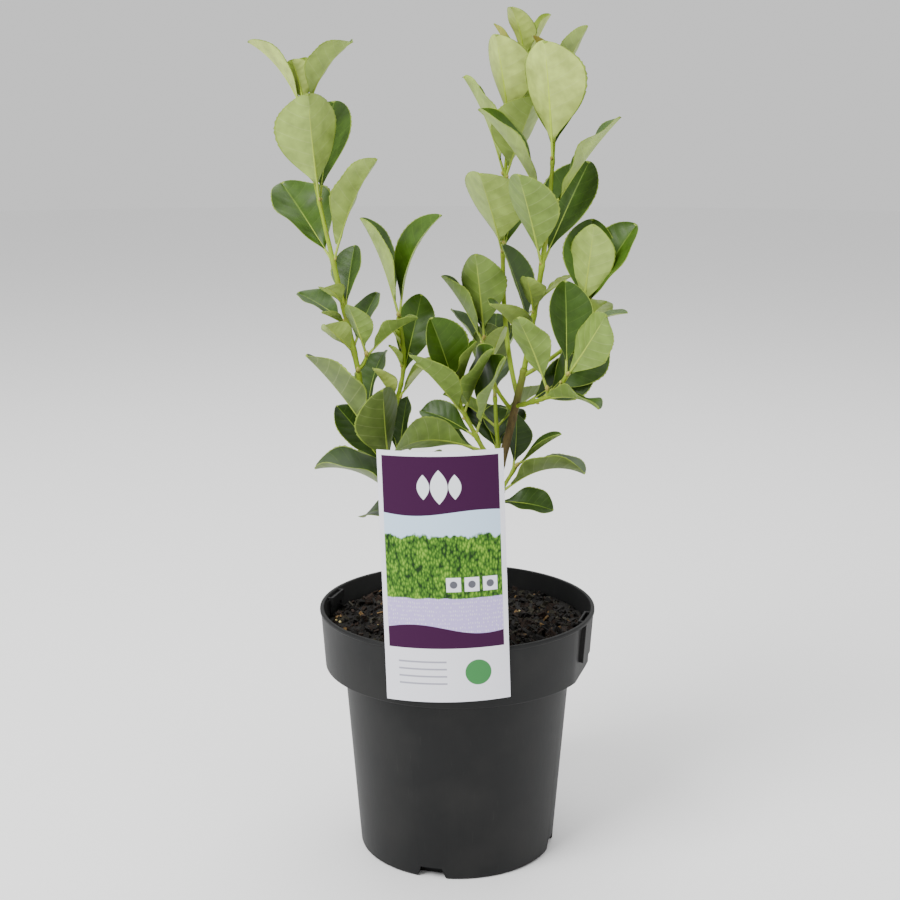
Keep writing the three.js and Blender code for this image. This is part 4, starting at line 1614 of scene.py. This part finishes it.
@dataclass
class Mass:
    """One leafy mass: its stem, twigs, stalks and leaves."""

    name: str
    line: GrowthLine
    pattern: LeafPattern
    finishes: dict[str, bpy.types.Material]

    YOUTH = {"centre_shoot": 0.28, "left_side": 0.18, "right_side": 0.2, "left_back": -0.1}
    SMALL = 31.0
    OLD_BELOW = 170.0
    AGE_SPAN = 330.0
    BRONZE_FROM = 480.0
    STEM_SIDES = 10
    STEM_ROW = 1.6
    RIB_SIDES = 8
    RIB_RINGS = 26
    BUD_LENGTH = 3.2
    TIP_BUD_LENGTH = 5.0

    def _bud(self, line: GrowthLine, along: float, turn: float, size: float) -> Body:
        """Makes the bud in the corner between a leaf and its shoot.

        Args:
            line: the shoot's line.
            along: how far along it the leaf stands.
            turn: the leaf's turn.
            size: the bud's length.

        Returns:
            Its mesh.
        """
        way = line.way_at(along)
        out = outward(way, radians(turn))
        points = (way * 0.85 + out * 0.5).normalized()
        side = points.cross(way).normalized()
        other = points.cross(side)
        foot = line.point_at(along + 1.0) + out * 1.1

        def place(share: float, angle: float) -> Vector:
            """The bud's skin at a share of the length and an angle."""
            r = 0.30 * size * sin(pi * min(1.0, 0.12 + 0.88 * share)) ** 0.7 + 0.02
            return foot + points * (share * size) + (side * cos(angle) + other * sin(angle)) * r

        return tube(6, 6, place)

    def _age(self, leaf: Leaf, high: float, rand: Wobble) -> Age:
        """Chooses a leaf's age from its height in the plant and its size.

        Args:
            leaf: the leaf.
            high: its height in mm.
            rand: the ripple stream.

        Returns:
            The age.
        """
        small = leaf.blade < self.SMALL
        if small and high > self.BRONZE_FROM and 200 < leaf.turn < 300:
            return Age.BRONZE
        score = (high - self.OLD_BELOW) / self.AGE_SPAN + 0.14 * rand()
        score += (0.3 if small else 0.0) + self.YOUTH.get(self.name, 0.0)
        return AGES[min(3, max(0, int(score * 3.2)))]

    def build(self) -> None:
        """Builds the mass's leaves and its stems as two pieces."""
        wobble, ripple = Wobble.of_name(self.name), Wobble.of_name(self.name + "_ripple")
        skins = [finish for age in AGES for finish in age.value.finishes()] + [MIDRIB, MARGIN]
        leaves = Builder([self.finishes[skin.name] for skin in skins])
        stems = Builder([self.finishes[skin.name] for skin in (GREEN_STEM, STALK, BUD, PALE_STALK)])
        shared = Role.MIDRIB * (len(AGES) - 1)
        for shoot in SHOOTS[self.name]:
            line = self.line
            if shoot.on == "own":
                line = GrowthLine(line.point_at(shoot.at), shoot.compass, shoot.lean, shoot.length)
            rings = max(10, int(line.length / self.STEM_ROW))
            stems.take(tube(self.STEM_SIDES, rings, partial(shoot.skin, line)), 0)
            for leaf in shoot.leaves:
                base = line.point_at(leaf.along)
                blade = Blade(base, line.way_at(leaf.along), leaf, wobble, ripple)
                age = self._age(leaf, base.z, ripple)
                young = age in (Age.YOUNG, Age.BRONZE)
                own = Role.MIDRIB * AGES.index(age)
                skin = self.pattern.fit(blade)
                for face in skin.faces:
                    role = face.material_index
                    if role == Role.MIDRIB and young:
                        role = Role.MARGIN
                    face.material_index = role + (own if role < Role.MIDRIB else shared)
                leaves.take(skin)
                stems.take(tube(self.RIB_SIDES, self.RIB_RINGS, blade.rib), 3 if young else 1)
                if leaf.along < line.length - 3:
                    stems.take(self._bud(line, leaf.along, leaf.turn, self.BUD_LENGTH), 2)
            stems.take(self._bud(line, line.length - 1.5, 0.0, self.TIP_BUD_LENGTH), 2)
        leaves.piece(self.name + "_leaves", [self.name])
        stems.piece(self.name + "_stems", [])


@dataclass
class Plant:
    """The whole shrub: trunk, main stems and leafy masses."""

    foot: Place = (4.0, 1.0, 154.8)

    def build(self) -> None:
        """Builds the wood and every mass."""
        trunk = GrowthLine(Vector(self.foot), 90, (2, 8), 30)
        right = GrowthLine(trunk.point_at(30), 88, (19, 14, 12), 141)
        left = GrowthLine(trunk.point_at(18), 270, (38, 31), 58)
        Limb("trunk", trunk, (4.6, 4.0), BROWN_STEM, flare=3.2, sides=28).build()
        Limb("right_stem", right, (3.3, 2.3), RIGHT_BARK).build()
        Limb("left_stem", left, (3.0, 2.6), LEFT_BARK).build()
        skins = [skin for age in AGES for skin in age.value.finishes()]
        skins += [MIDRIB, MARGIN, STALK, PALE_STALK, GREEN_STEM, BUD]
        finishes = {skin.name: skin.make() for skin in skins}
        pattern = LeafPattern()
        lines = {"right_stem": right, "left_stem": left}
        for name, (first, *_) in SHOOTS.items():
            start = lines[first.on].point_at(first.at)
            lines[name] = GrowthLine(start, first.compass, first.lean, first.length)
            Mass(name, lines[name], pattern, finishes).build()
        bpy.data.meshes.remove(pattern.mesh)


@dataclass
class Studio:
    """Camera, pale floor and soft light. A light has its place and side in metres and its power in watts."""

    lights: tuple[tuple[str, Place, float, float], ...] = (
        ("key", (-1.2, -1.2, 1.9), 1.2, 72.0),
        ("fill", (1.7, -1.2, 0.9), 1.6, 8.0),
        ("top", (0.1, 0.7, 1.9), 1.5, 22.0),
    )
    middle: Place = (0.0, 0.0, 0.25)
    camera_at: Place = (-4.757, -1000.0, 493.62)
    pitch_down: float = 12.726
    lens: float = 63.77
    floor_radius: float = 6.0
    floor_tone: float = 0.93
    sky: float = 0.85

    def _light_up(self) -> None:
        """Adds soft square lights that look at the plant's middle."""
        for name, at, size, power in self.lights:
            light = bpy.data.lights.new(name, "AREA")
            light.size, light.energy = size, power
            thing = add_object(name, light)
            thing.location = at
            thing.rotation_euler = (Vector(self.middle) - Vector(at)).to_track_quat("-Z", "Y").to_euler()

    def _floor(self) -> None:
        """Lays the pale round floor."""
        bm = bmesh.new()
        bmesh.ops.create_circle(bm, cap_ends=True, radius=self.floor_radius, segments=96)
        mesh = to_mesh("floor", bm)
        g = Graph("floor_white")
        g.set(Base_Color=(self.floor_tone,) * 3, Roughness=0.9)
        mesh.materials.append(g.material)
        floor = add_object("floor", mesh)

    def build(self) -> None:
        """Builds the studio."""
        scene = bpy.context.scene
        camera = bpy.data.cameras.new("camera")
        camera.lens, camera.sensor_width, camera.clip_end = self.lens, 36.0, 50.0
        scene.camera = add_object("camera", camera)
        scene.camera.location = Vector(self.camera_at) * MM
        scene.camera.rotation_euler = (radians(90 - self.pitch_down), 0.0, 0.0)
        self._floor()
        self._light_up()
        world = bpy.data.worlds.new("studio")
        world.use_nodes = True
        background = world.node_tree.nodes["Background"]
        background.inputs["Color"].default_value = (1.0, 1.0, 1.0, 1.0)
        background.inputs["Strength"].default_value = self.sky
        scene.world = world


def main() -> None:
    """Builds every sub-assembly in order."""
    logging.basicConfig(level=logging.INFO)
    Studio().build()
    pot = Pot()
    pot.build()
    PottingMix(pot).build()
    Label().build()
    Plant().build()


if __name__ == "__main__":
    main()
